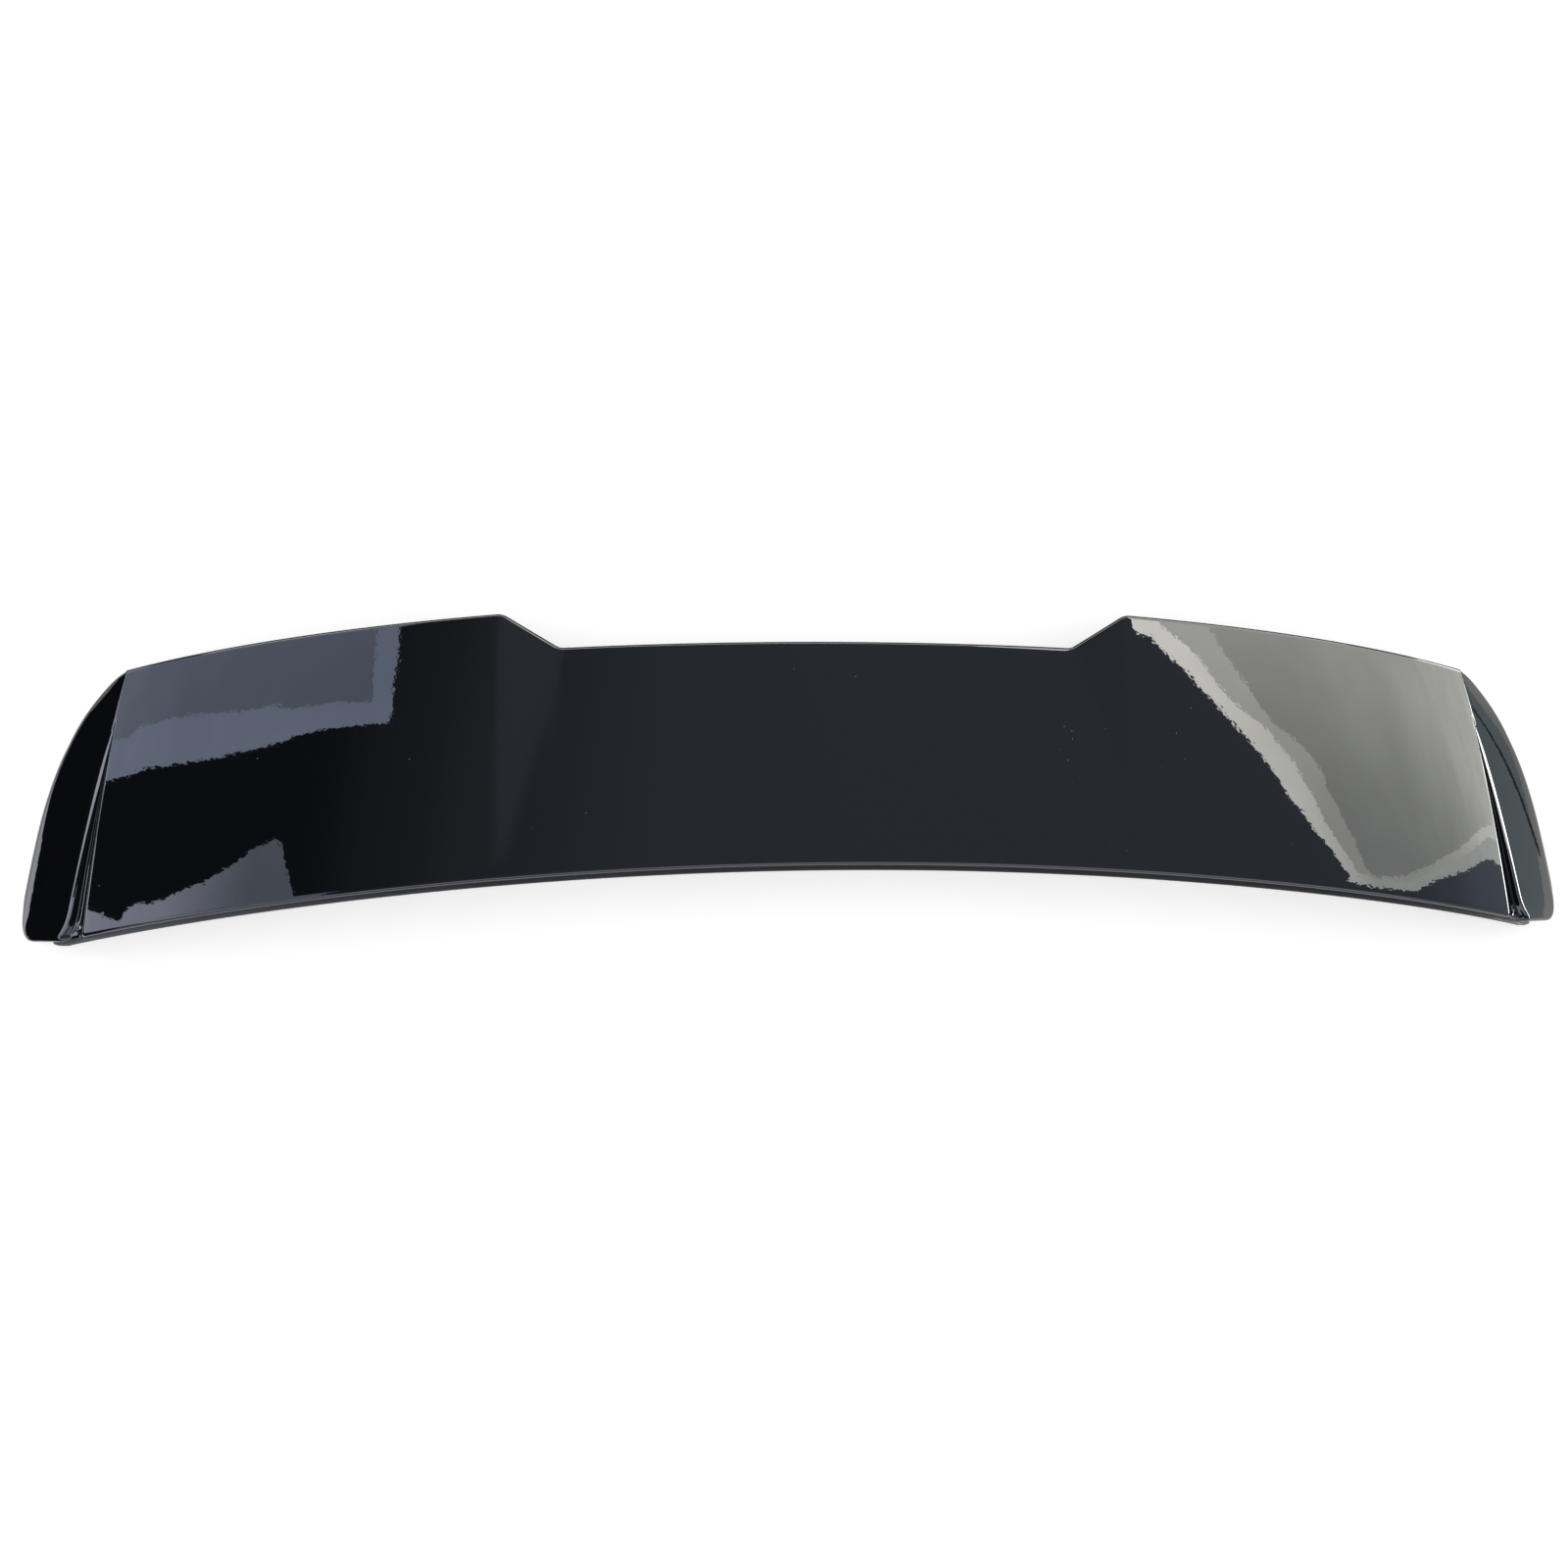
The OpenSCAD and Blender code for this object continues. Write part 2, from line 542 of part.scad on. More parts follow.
// Stiffening ribs run along the chord, on a pitch, wherever no boss or pin stands; their ends
// start a little inside the pan's wall
rib_front_v = 0.29;
rib_back_v = 0.72;
rib_root = 1;
rib_draft = 0.8;
rib_rise = 0.12;
rib_sink = 0.5;
rib_gap = 3;
fixed_x = [inner_pitch / 2, outer_pitch / 2, pin_pitch / 2];
function rib_free(x) = min([for (f = fixed_x) abs(x - f)]) > washer_r + rib_w / 2 + rib_gap;
rib_places = [for (x = [rib_pitch / 2 : rib_pitch : pan_w / 2 - rib_w - rib_gap]) if (rib_free(x)) x];
function rib_height(t) = (rib_h + rib_sink) * unit(min(t, 1 - t) / rib_rise) - rib_sink;
function rib_ring(x, t) = let (
    v = lerp(rib_front_v, rib_back_v, t),
    y = blade_y(x, v),
    z = pan_under(x, y),
    half = rib_w / 2,
    tip = half * rib_draft)
    [[x - tip, y - origin[1], z - rib_height(t)], [x - half, y - origin[1], z + rib_root],
     [x + half, y - origin[1], z + rib_root], [x + tip, y - origin[1], z - rib_height(t)]];
module pan_rib(x) {
    loft([for (t = [0, rib_rise, 0.5, 1 - rib_rise, 1]) rib_ring(x, t)]);
}

module lower_skin() {
    color([0.13, 0.13, 0.135])
    difference() {
        union() {
            loft([for (c = [-col_tab : col_tab]) lower_ring(c)]);
            ledge_ear(-1);
            ledge_ear(1);
            for (i = [0 : len(bosses) - 1])
                at_boss(i, 0) cylinder(r = boss_r, h = insert_len + boss_cap);
            for (i = [0 : len(pins) - 1])
                locating_pin(i);
            for (x = rib_places) {
                pan_rib(x);
                pan_rib(-x);
            }
        }
        for (i = [0 : len(bosses) - 1])
            at_boss(i, -cut) cylinder(r = insert_r, h = insert_len + cut);
        drain_holes(drain_room);
    }
}

// Threaded insert with two grip bands and a groove between them
insert_groove = 0.5;
low_band = 0.4;
high_band = 0.45;
module insert(i) {
    color([0.72, 0.58, 0.28])
    at_boss(i, 0)
    difference() {
        union() {
            cylinder(r = insert_r - insert_groove, h = insert_len);
            cylinder(r = insert_r, h = insert_len * low_band);
            translate([0, 0, insert_len * (1 - high_band)])
                cylinder(r = insert_r, h = insert_len * high_band);
        }
        translate([0, 0, -cut]) cylinder(r = thread_r, h = insert_len + 2 * cut);
    }
}

// Foam sealing washer round each screw, with room for the insert's rim
washer_room = 1;
module washer(i) {
    color([0.2, 0.2, 0.21])
    at_boss(i, -washer_t)
    difference() {
        cylinder(r = washer_r, h = washer_t);
        translate([0, 0, -cut]) cylinder(r = insert_r + washer_room, h = washer_t + 2 * cut);
    }
}

// Adhesive tape under the ledge, between two columns of the blade
film = 0.1;
function tape_ring(c) = let (
    r = lower_ring(c),
    down = [0, 0, tape_t],
    gap = [0, 0, film])
    [r[1] - gap - down, r[2] - gap - down, r[2] - gap, r[1] - gap];
module tape(first, last) {
    color([0.3, 0.05, 0.05])
        loft([for (c = [first : last]) tape_ring(c)], 1);
}

// Foam pad under the top of each cheek, where it lies on the tailgate
pad_rows = [4, 11];
module cheek_foam(side) {
    color([0.22, 0.22, 0.23])
    loft([for (j = side > 0 ? [pad_rows[0] : pad_rows[1]] : [pad_rows[1] : -1 : pad_rows[0]])
        let (pad = [for (c = [1 : cheek_cols - 1]) side * (col_crest + c)],
             top = [for (c = pad) under_point(c, row_v(j)) - [0, 0, film]],
             low = [for (p = top) p - [0, 0, cheek_foam_t]])
        side > 0 ? concat(top, back_to_front(low)) : concat(back_to_front(low), top)]);
}

upper_skin();
lower_skin();
insert(0);  // insert_outer_left
insert(1);  // insert_inner_left
insert(2);  // insert_inner_right
insert(3);  // insert_outer_right
washer(0);  // washer_outer_left
washer(1);  // washer_inner_left
washer(2);  // washer_inner_right
washer(3);  // washer_outer_right
tape(-(col_edge - 1), -(col_out + 1));  // tape_left
tape(-(col_in - 1), col_in - 1);  // tape_centre
tape(col_out + 1, col_edge - 1);  // tape_right
cheek_foam(-1);  // cheek_foam_left
cheek_foam(1);  // cheek_foam_right
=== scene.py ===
"""Looks of a roof spoiler: a mirror-gloss outer skin on a satin lower skin, with its fixings, on white.

Lengths are in metres. Angles are in degrees in the settings and in radians elsewhere. X runs across the car,
+Y to the rear and Z up.
"""

import json
import math

import bmesh
import bpy
import numpy as np
from bpy.props import FloatProperty, FloatVectorProperty, IntProperty, PointerProperty
from bpy.types import Operator, Panel, PropertyGroup
from mathutils import Matrix, Vector


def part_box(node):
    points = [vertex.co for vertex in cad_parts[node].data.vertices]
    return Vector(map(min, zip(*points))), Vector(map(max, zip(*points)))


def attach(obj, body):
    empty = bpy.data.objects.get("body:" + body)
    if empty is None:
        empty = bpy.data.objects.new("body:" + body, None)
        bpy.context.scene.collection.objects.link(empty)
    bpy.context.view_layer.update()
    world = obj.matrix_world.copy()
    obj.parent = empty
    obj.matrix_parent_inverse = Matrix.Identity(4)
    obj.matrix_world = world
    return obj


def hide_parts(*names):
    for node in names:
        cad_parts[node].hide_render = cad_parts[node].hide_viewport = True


bl_info = {
    "name": "Roof Spoiler",
    "version": (1, 0, 0),
    "blender": (4, 5, 0),
    "location": "View3D > Sidebar > Spoiler",
    "description": "Builds a gloss black roof spoiler with its lower skin, fixings and studio",
    "category": "Add Mesh",
}

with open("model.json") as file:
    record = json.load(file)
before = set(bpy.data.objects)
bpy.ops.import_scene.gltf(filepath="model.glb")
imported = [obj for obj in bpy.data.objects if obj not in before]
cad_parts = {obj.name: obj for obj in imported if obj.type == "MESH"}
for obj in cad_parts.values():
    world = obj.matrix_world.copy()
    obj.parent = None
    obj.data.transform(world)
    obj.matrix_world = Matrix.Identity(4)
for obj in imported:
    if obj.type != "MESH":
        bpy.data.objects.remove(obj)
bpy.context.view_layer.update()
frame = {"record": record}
BODY = "root"


def length(name, description, default, low=0.0, high=2.0):
    """A length in metres for the sidebar."""
    return FloatProperty(name=name, description=description, default=default, min=low, max=high,
                         precision=4, unit="LENGTH")


def share(name, description, default, low=0.0, high=1.0):
    """A plain number or share for the sidebar."""
    return FloatProperty(name=name, description=description, default=default, min=low, max=high, precision=3)


def colour(name, description, default):
    """A linear colour for the sidebar."""
    return FloatVectorProperty(name=name, description=description, default=default, size=3,
                               min=0.0, max=1.0, subtype="COLOR")


class SpoilerShape(PropertyGroup):
    """Driving sizes of the two skins, the same as the solids have."""

    lead_w: length("Front width", "Width of the blade at the leading edge", 1.070)
    trail_w: length("Rear width", "Width of the blade at the trailing corners", 1.032)
    side_belly: length("Side belly", "How far the blade's side edge bellies out", 0.0045)
    end_chord: length("End chord", "Chord of the blade at its ends", 0.1995)
    lead_bow: length("Front bow", "How far the leading edge is bowed to the rear", 0.0448)
    trail_bow: length("Rear bow", "How far the trailing edge is bowed to the rear", 0.0474)
    notch_outer_w: length("Notch width", "Width of the notch over its slanted ends", 0.475)
    notch_inner_w: length("Notch floor", "Width of the notch floor", 0.3905)
    notch_y: length("Notch place", "Distance of the notch floor behind the front corners", 0.2113)
    notch_bow: length("Notch bow", "Bow of the notch floor", 0.005)
    panel_step: length("Panel step", "How much lower the middle panel lies at the rear", 0.005)
    pitch: share("Pitch", "Slope of the blade, down to the rear, in degrees", 9.9, 0.0, 30.0)
    crown_drop: length("Crown", "Drop of the blade's ends below its middle", 0.0435)
    crown_power: share("Crown power", "How late the drop towards the ends begins", 5.7, 2.0, 9.0)
    camber: length("Camber", "Rise of the blade's middle over its chord line", 0.003)
    skin_wall: length("Outer wall", "Wall of the outer skin", 0.0025)
    lead_roll: length("Front roll", "Radius of the rolled leading edge", 0.0035)
    rear_roll: length("Rear roll", "Radius of the rolled trailing edge", 0.004)
    lead_h: length("Front flange", "Height of the front flange", 0.012)
    rear_h: length("Rear flange", "Height of the trailing flange in the middle", 0.015)
    channel_w: length("Channel width", "Width of a side channel at the leading edge", 0.0125)
    channel_d: length("Channel depth", "Depth of a side channel at the leading edge", 0.0065)
    channel_run: share("Channel run", "Share of the chord over which a channel fades out", 0.81)
    mouth_flare: length("Mouth flare", "How far a channel's outer wall flares out at its mouth", 0.0055)
    mouth_len: length("Mouth length", "Length of the flare, from the blade's front end", 0.018)
    drain_r: length("Drain radius", "Radius of the drain hole in each channel", 0.0018)
    sink_r: length("Dimple radius", "Radius of the dimple round a drain hole", 0.0026)
    sink_depth: length("Dimple depth", "Depth of the dimple below the channel's floor", 0.001)
    drain_y: length("Drain place", "Distance of the drain hole from the leading edge", 0.0075)
    cheek_w: length("Cheek width", "Widest part of a cheek's top", 0.0448)
    cheek_front_cut: length("Cheek front", "How much narrower a cheek is at its front", 0.0012)
    cheek_wide_at: share("Cheek widest at", "Where along the chord a cheek is widest", 0.377)
    cheek_fullness: share("Cheek fullness", "Fullness of a cheek's rear outline", 1.93, 1.0, 4.0)
    cheek_corner: length("Cheek corner", "Radius of a cheek's front corner", 0.015)
    cheek_slope: share("Cheek slope", "How much steeper a cheek falls than the blade beside it, in degrees",
                       7.0, 0.0, 60.0)
    cheek_curve: length("Cheek curve", "Radius by which a cheek's top curves down", 0.8)
    cheek_roll: length("Cheek roll", "Radius of the roll into a cheek's side", 0.016)
    lower_wall: length("Lower wall", "Wall of the lower skin", 0.0026)
    ledge: length("Ledge", "How far the lower skin stands out at the front", 0.004)
    pan_depth: length("Pan depth", "Depth of the lower skin below the blade's surface", 0.030)
    pan_w: length("Pan width", "Width of the full-depth pan", 0.940)
    bond: length("Glue gap", "Glue gap between the two skins", 0.0002)


class SpoilerFixings(PropertyGroup):
    """Sizes of the inserts, washers, pins, tape and foam."""

    inner_y: length("Inner inserts", "Distance of the inner inserts behind the front corners", 0.118)
    insert_r: length("Insert radius", "Outer radius of a threaded insert", 0.0044)
    thread_r: length("Thread radius", "Thread radius of an insert", 0.003)
    insert_len: length("Insert length", "Length of an insert", 0.0125)
    knurl_teeth: IntProperty(name="Knurl teeth", description="Teeth round an insert's grip bands",
                             default=32, min=8, max=64)
    boss_r: length("Boss radius", "Radius of a screw boss", 0.009)
    boss_cap: length("Boss cap", "Solid end of a screw boss above its insert", 0.0035)
    washer_r: length("Washer radius", "Outer radius of a foam washer", 0.013)
    pin_r: length("Pin radius", "Radius of a locating pin", 0.004)
    pin_tip: length("Pin tip", "Length of a locating pin's cone", 0.003)
    pin_len: length("Pin length", "Length of a locating pin below its shoulder", 0.012)
    shoulder_r: length("Shoulder radius", "Radius of the flat shoulder at a pin's root", 0.008)
    shoulder_root: length("Shoulder root", "How far a shoulder reaches up into the pan", 0.005)
    washer_t: length("Washer thickness", "Thickness of a foam washer", 0.003)
    washer_room: length("Washer room", "Room between an insert and its washer", 0.001)
    tape_start: length("Tape start", "Distance of the tape from the ledge's front", 0.006)
    tape_w: length("Tape width", "Width of the adhesive tape", 0.011)
    tape_t: length("Tape thickness", "Thickness of the adhesive tape", 0.0012)
    pad_t: length("Pad thickness", "Thickness of the foam pad under a cheek", 0.003)
    film: length("Film", "Glue film on tape and pads", 0.0001)
    rib_pitch: length("Rib pitch", "Distance between the ribs under the pan", 0.060)
    rib_h: length("Rib height", "Height of a rib below the pan", 0.0025)
    rib_w: length("Rib width", "Width of a rib", 0.002)
    drain_room: length("Drain room", "How much wider the lower skin's drain holes are", 0.0009)


class SpoilerFinish(PropertyGroup):
    """Colours of the finishes."""

    gloss: colour("Gloss black", "Colour of the outer skin", (0.0030, 0.0033, 0.0042))
    satin: colour("Satin black", "Colour of the lower skin", (0.026, 0.026, 0.028))
    brass: colour("Brass", "Colour of the inserts", (0.71, 0.53, 0.24))
    foam: colour("Foam", "Colour of the sealing foam", (0.035, 0.035, 0.037))
    tape: colour("Tape", "Colour of the adhesive tape's release film", (0.28, 0.018, 0.014))
    dust: colour("Dust", "Colour of the dust specks on the gloss", (0.30, 0.30, 0.29))


class SpoilerStage(PropertyGroup):
    """Distance of the camera, and light."""

    distance: length("Camera distance", "Distance of the camera from its aim point", 1.2, 0.3, 10.0)
    sky: share("Sky", "Brightness of the room's light on matt surfaces", 0.85, 0.0, 5.0)
    room: colour("Room", "Colour of the room that the gloss reflects", (0.45, 0.52, 0.64))
    floor_lift: share("Floor lift", "Light that the floor adds for the eye", 0.45, 0.0, 2.0)


def settings(group):
    """One of the four groups of settings."""
    return getattr(bpy.context.scene, "spoiler_" + group)


# Small mathematics

def smooth(low, high, x):
    """0 below low, 1 above high, and a soft step between."""
    t = np.clip((x - low) / (high - low), 0.0, 1.0)
    return t * t * (3.0 - 2.0 * t)


def trough(walls, q):
    """0 outside the two walls and 1 between them; walls gives where each wall starts and ends."""
    return smooth(walls[0], walls[1], q) * (1 - smooth(walls[2], walls[3], q))


def softened(function, x, reach, count=9):
    """The mean of a function over a short stretch, which rounds its corners."""
    return np.mean([function(x + d) for d in np.linspace(-reach, reach, count)], axis=0)


class Surface:
    """The blade's surface.

    x is the place across the car, and the same to both sides. v is the share of the chord, from the
    leading edge (0) to the trailing edge (1). q is the place across a channel, from the blade's edge (0) to
    the crest (1), and s the distance past the crest along a cheek's top.
    """

    # Width of the crease that a channel fades out to
    CHANNEL_MIN = 0.001
    # Width, at the leading edge, of the ramp between the middle panel and a side panel
    RAMP_NOSE = 0.004
    # Width of a cheek's top at its tail, and how its rear end is swept forward
    CHEEK_TAIL = 0.006
    CHEEK_TAIL_SWEEP = 0.5
    CHEEK_TAIL_POWER = 6
    # Radius of the crest between a channel and its cheek
    CREST_R = 0.005
    # How far the notch's corners and the ramps' creases are softened to each side
    CORNER_REACH = 0.003
    CREASE_REACH = 0.006
    # How fast the flare of a channel's mouth dies away
    MOUTH_POWER = 2.5
    # Where a channel's two walls start and end, as places q, on the outside and on the underside
    CHANNEL_WALLS = (-0.10, 0.36, 0.64, 1.10)
    UNDER_WALLS = (-0.30, 0.15, 0.85, 1.30)
    # Share of the drain hole's radius up to which its dimple is deepest, and the dimple's soft rim
    DIMPLE_FLAT = 0.6
    DIMPLE_RIM = 0.0008

    def __init__(self):
        self.p = settings("shape")
        self.half_lead = self.p.lead_w / 2
        self.half_trail = self.p.trail_w / 2
        self.notch_x = self.p.notch_outer_w / 2
        self.floor_x = self.p.notch_inner_w / 2
        self.turn = math.radians(self.p.cheek_slope)
        # The part's origin, seen from the blade's front corners, from a screw's place and the highest point
        self.origin_y = settings("fixings").inner_y - mount("screw_inner_right")["pos_m"][1]
        across = np.linspace(0, self.half_lead, 400)
        self.foot_z = float(self.raw_z(across, np.zeros(400)).max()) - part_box("upper_skin")[1].z

    def lead_y(self, x):
        """Leading edge."""
        return self.p.lead_bow * (1 - (x / self.half_lead) ** 2)

    def rear_y(self, x):
        """Trailing edge beside the notch."""
        return self.p.end_chord + self.p.trail_bow * (1 - (x / self.half_trail) ** 2)

    def sharp_trail_y(self, x):
        """Trailing edge with the notch's corners sharp."""
        across = np.abs(x)
        middle = self.p.notch_y + self.p.notch_bow * (1 - (across / self.floor_x) ** 2)
        t = np.clip((across - self.floor_x) / (self.notch_x - self.floor_x), 0, 1)
        slant = self.p.notch_y + (self.rear_y(self.notch_x) - self.p.notch_y) * t
        beside = np.where(across > self.notch_x, self.rear_y(across), slant)
        return np.where(across < self.floor_x, middle, beside)

    def trail_y(self, x):
        """Trailing edge with its notch."""
        return softened(self.sharp_trail_y, x, self.CORNER_REACH)

    def edge_x(self, v):
        """Side edge of the blade, where its channel begins."""
        widening = self.half_trail - self.half_lead + self.p.side_belly
        return self.half_lead + widening * v - self.p.side_belly * v**4

    def ramp_x(self, v):
        """Foot of the ramp beside the middle panel."""
        return self.notch_x - self.RAMP_NOSE - (self.notch_x - self.floor_x - self.RAMP_NOSE) * v

    def channel_left(self, v):
        """Share of a channel's full width and depth that is left."""
        return np.maximum(0, 1 - v / self.p.channel_run)

    def gap_w(self, v):
        """Width of a channel."""
        near_mouth = np.clip(1 - v * self.p.end_chord / self.p.mouth_len, 0, 1)
        mouth = self.p.mouth_flare * near_mouth**self.MOUTH_POWER
        return np.maximum(self.CHANNEL_MIN, self.p.channel_w * self.channel_left(v)) + mouth

    def gap_depth(self, v):
        """Depth of a channel."""
        return self.p.channel_d * self.channel_left(v)

    def crest_x(self, v):
        """Crest between a channel and its cheek."""
        return self.edge_x(v) + self.gap_w(v)

    def blade_y(self, x, v):
        """Place along the car, between the rolled edges."""
        front = self.lead_y(x) + self.p.lead_roll
        return front + (self.trail_y(x) - self.p.rear_roll - front) * v

    def ramp_t(self, x, v):
        """How far up the ramp a place lies: 0 on the middle panel and 1 on a side panel."""
        def sharp(place):
            """The same with sharp creases."""
            return np.clip((np.abs(place) - self.ramp_x(v)) / (self.notch_x - self.ramp_x(v)), 0, 1)
        return softened(sharp, x, self.CREASE_REACH)

    def raw_z(self, x, v):
        """Height of the blade over its own corner: camber, crown, pitch and the lower middle panel."""
        crown = self.p.crown_drop * (np.abs(x) / self.half_lead) ** self.p.crown_power
        pitch = math.tan(math.radians(self.p.pitch)) * self.blade_y(x, v)
        step = self.p.panel_step * v * (1 - self.ramp_t(x, v))
        return self.p.camber * 4 * v * (1 - v) - crown - pitch - step

    def cheek_top(self, v):
        """Width of a cheek's top along the chord, with its rounded front corner."""
        wide = self.p.cheek_wide_at
        front = self.p.cheek_w - self.p.cheek_front_cut * (np.clip(wide - v, 0, 1) / wide) ** 2
        back = np.clip((v - wide) / (1 - wide), 0, 1)
        fall = (1 - back**self.p.cheek_fullness) ** (1 / self.p.cheek_fullness)
        rear = self.CHEEK_TAIL + (self.p.cheek_w - self.CHEEK_TAIL) * fall
        radius = self.p.cheek_corner
        left = np.clip(radius - v * self.p.end_chord, 0, radius)
        return np.where(v < wide, front, rear) - (radius - np.sqrt(radius**2 - left**2))

    def crown_angle(self, x):
        """Slope of the blade across the car, in radians."""
        power = self.p.crown_power
        steep = power * self.p.crown_drop / self.half_lead
        return np.arctan(steep * (np.abs(x) / self.half_lead) ** (power - 1))

    def cheek_fall(self, s, v):
        """Fall of a cheek's top below its crest, in line with the blade and then turned down in an arc."""
        start = self.crown_angle(self.crest_x(v))
        end = start + self.turn
        run = self.CREST_R * (np.sin(end) - np.sin(start))
        sine = np.minimum(s, run) / self.CREST_R + np.sin(start)
        past = np.maximum(s - run, 0)
        arc = self.CREST_R * (np.cos(start) - np.sqrt(1 - sine**2))
        return arc + np.tan(end) * past + past**2 / (2 * self.p.cheek_curve)

    def channel_form(self, q):
        """Section of a channel: 0 beside it and 1 on its floor, with rounded shoulders."""
        return trough(self.CHANNEL_WALLS, q)

    def under_form(self, q):
        """The same for its underside, wider by the wall."""
        return trough(self.UNDER_WALLS, q)

    def drain_xy(self):
        """Middle of the right drain hole in the part's frame, and its share of the chord."""
        v = np.array([(self.p.drain_y - self.p.lead_roll) / self.p.end_chord])
        x = self.edge_x(v) + self.p.channel_w * self.channel_left(v) / 2
        return float(x[0]), float(self.blade_y(x, v)[0]) - self.origin_y, v

    def dimple(self, base):
        """Depth of the soft dimple round each drain hole."""
        x, y, _ = self.drain_xy()
        away = np.hypot(np.abs(base[..., 0]) - x, base[..., 1] - y)
        flat, rim = self.p.drain_r * self.DIMPLE_FLAT, self.p.sink_r + self.DIMPLE_RIM
        return self.p.sink_depth * (1 - smooth(flat, rim, away))

    def place(self, points):
        """Moves points from the blade's own corners to the part's frame."""
        return points - np.array([0.0, self.origin_y, self.foot_z])

    def blade_z(self, x, v):
        """Height of the blade in the part's frame."""
        return self.raw_z(x, v) - self.foot_z

    def corner_z(self):
        """Height of the trailing corners."""
        one = np.ones(1)
        return float(self.blade_z(self.crest_x(one), one)[0])


def mount(name):
    """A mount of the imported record."""
    for entry in frame["record"]["mounts"]:
        if entry["name"] == name:
            return entry
    raise RuntimeError("the record has no mount named " + name)


# Grids of the two skins

# The zones across half a skin, from its middle outwards
MIDDLE, RAMP, SIDE, CHANNEL, CHEEK = range(5)

# Columns in each zone, and where they are closer together: late in the zone, at both its ends or nowhere.
# The lower skin ends under the channel
SKIN_STEPS = ((34, "late"), (26, "even"), (74, "ends"), (22, "even"), (24, "even"))
LOWER_STEPS = ((30, "late"), (20, "even"), (60, "ends"), (12, "even"))

# Rows of the outer skin's sheets, and steps round its rolled edge
SKIN_ROWS = 84
ROLL_STEPS = 8

# Share of the chord over which the front roll grows to the cheek's roll
ROLL_BLEND = 0.15

UP = np.array([0.0, 0.0, 1.0])


def half_columns(steps):
    """Columns of one half as (zone, share); steps gives the count and the spacing in each zone."""
    zones = []
    for zone, (count, spacing) in enumerate(steps):
        first = 0 if zone == MIDDLE else 1
        for k in range(first, count + 1):
            t = k / count
            if spacing == "ends":
                t = 0.5 - 0.5 * math.cos(math.pi * t)
            elif spacing == "late":
                t = math.sin(math.pi / 2 * t)
            zones.append((zone, t))
    return zones


def row_shares(count):
    """Shares along the chord, closer together at both ends."""
    t = np.linspace(0, 1, count + 1)
    return t**1.5 / (t**1.5 + (1 - t) ** 1.5)


def grid_parts(surface, columns, v):
    """Points before the channels are cut, places q and shares v; columns are (side, zone, share)."""
    x_all, s_all, q_all = [], [], []
    for side, zone, t in columns:
        if zone == MIDDLE:
            x = surface.ramp_x(v) * t
        elif zone == RAMP:
            x = surface.ramp_x(v) + (surface.notch_x - surface.ramp_x(v)) * t
        elif zone == SIDE:
            x = surface.notch_x + (surface.edge_x(v) - surface.notch_x) * t
        elif zone == CHANNEL:
            x = surface.edge_x(v) + surface.gap_w(v) * t
        else:
            x = surface.crest_x(v)
        s = surface.cheek_top(v) * t if zone == CHEEK else np.zeros_like(v)
        x_all.append(side * x)
        s_all.append(s)
        q_all.append((x + s - surface.edge_x(v)) / surface.gap_w(v))
    x = np.array(x_all).T
    s = np.array(s_all).T
    q = np.array(q_all).T
    rows = np.repeat(v[:, None], x.shape[1], axis=1)
    y = surface.blade_y(x, rows) - surface.CHEEK_TAIL_SWEEP * s * rows**surface.CHEEK_TAIL_POWER
    z = surface.raw_z(x, rows) - surface.cheek_fall(s, rows)
    base = np.stack([x + np.sign(x) * s, y, z], axis=-1)
    return surface.place(base), q, rows


def grid_normals(points):
    """Unit normals of a grid of points, pointing up."""
    along = np.gradient(points, axis=0)
    across = np.gradient(points, axis=1)
    normal = np.cross(across, along)
    return normal / np.linalg.norm(normal, axis=-1, keepdims=True)


def column_at(surface, x):
    """The column that passes a given place on the leading edge, as (side, zone, share)."""
    side = -1 if x < 0 else 1
    ramp = surface.notch_x - surface.RAMP_NOSE
    across = abs(x)
    if across < ramp:
        return side, MIDDLE, across / ramp
    if across < surface.notch_x:
        return side, RAMP, (across - ramp) / surface.RAMP_NOSE
    return side, SIDE, (across - surface.notch_x) / (surface.half_lead - surface.notch_x)


def both_halves(half):
    """Left columns, mirrored, and then the right ones."""
    left = [(-1, zone, t) for zone, t in reversed(half[1:])]
    return left + [(1, zone, t) for zone, t in half]


def rim_order(rows, cols):
    """Grid places once round the skin: front, right side, rear, left side."""
    loop = [(0, i) for i in range(cols)]
    loop += [(j, cols - 1) for j in range(1, rows)]
    loop += [(rows - 1, i) for i in range(cols - 2, -1, -1)]
    loop += [(j, 0) for j in range(rows - 2, 0, -1)]
    return np.array(loop)


# Edges that turn by less than this are shaded smooth
SMOOTH_BELOW = math.radians(40.0)


def new_piece(name, points, faces, material):
    """A mesh object from points and faces, with its faces turned outwards."""
    mesh = bpy.data.meshes.new(name)
    mesh.from_pydata([tuple(p) for p in points], [], [tuple(int(i) for i in f) for f in faces])
    mesh.validate()
    mesh.materials.append(material)
    piece = bpy.data.objects.new(name, mesh)
    bpy.context.scene.collection.objects.link(piece)
    build = bmesh.new()
    build.from_mesh(mesh)
    bmesh.ops.recalc_face_normals(build, faces=build.faces)
    for face in build.faces:
        face.smooth = True
    for edge in build.edges:
        edge.smooth = len(edge.link_faces) != 2 or edge.calc_face_angle(0.0) < SMOOTH_BELOW
    build.to_mesh(mesh)
    build.free()
    return piece


def quads(first, second):
    """Faces between two closed loops of point numbers."""
    return np.stack([first, np.roll(first, -1), np.roll(second, -1), second], axis=-1)


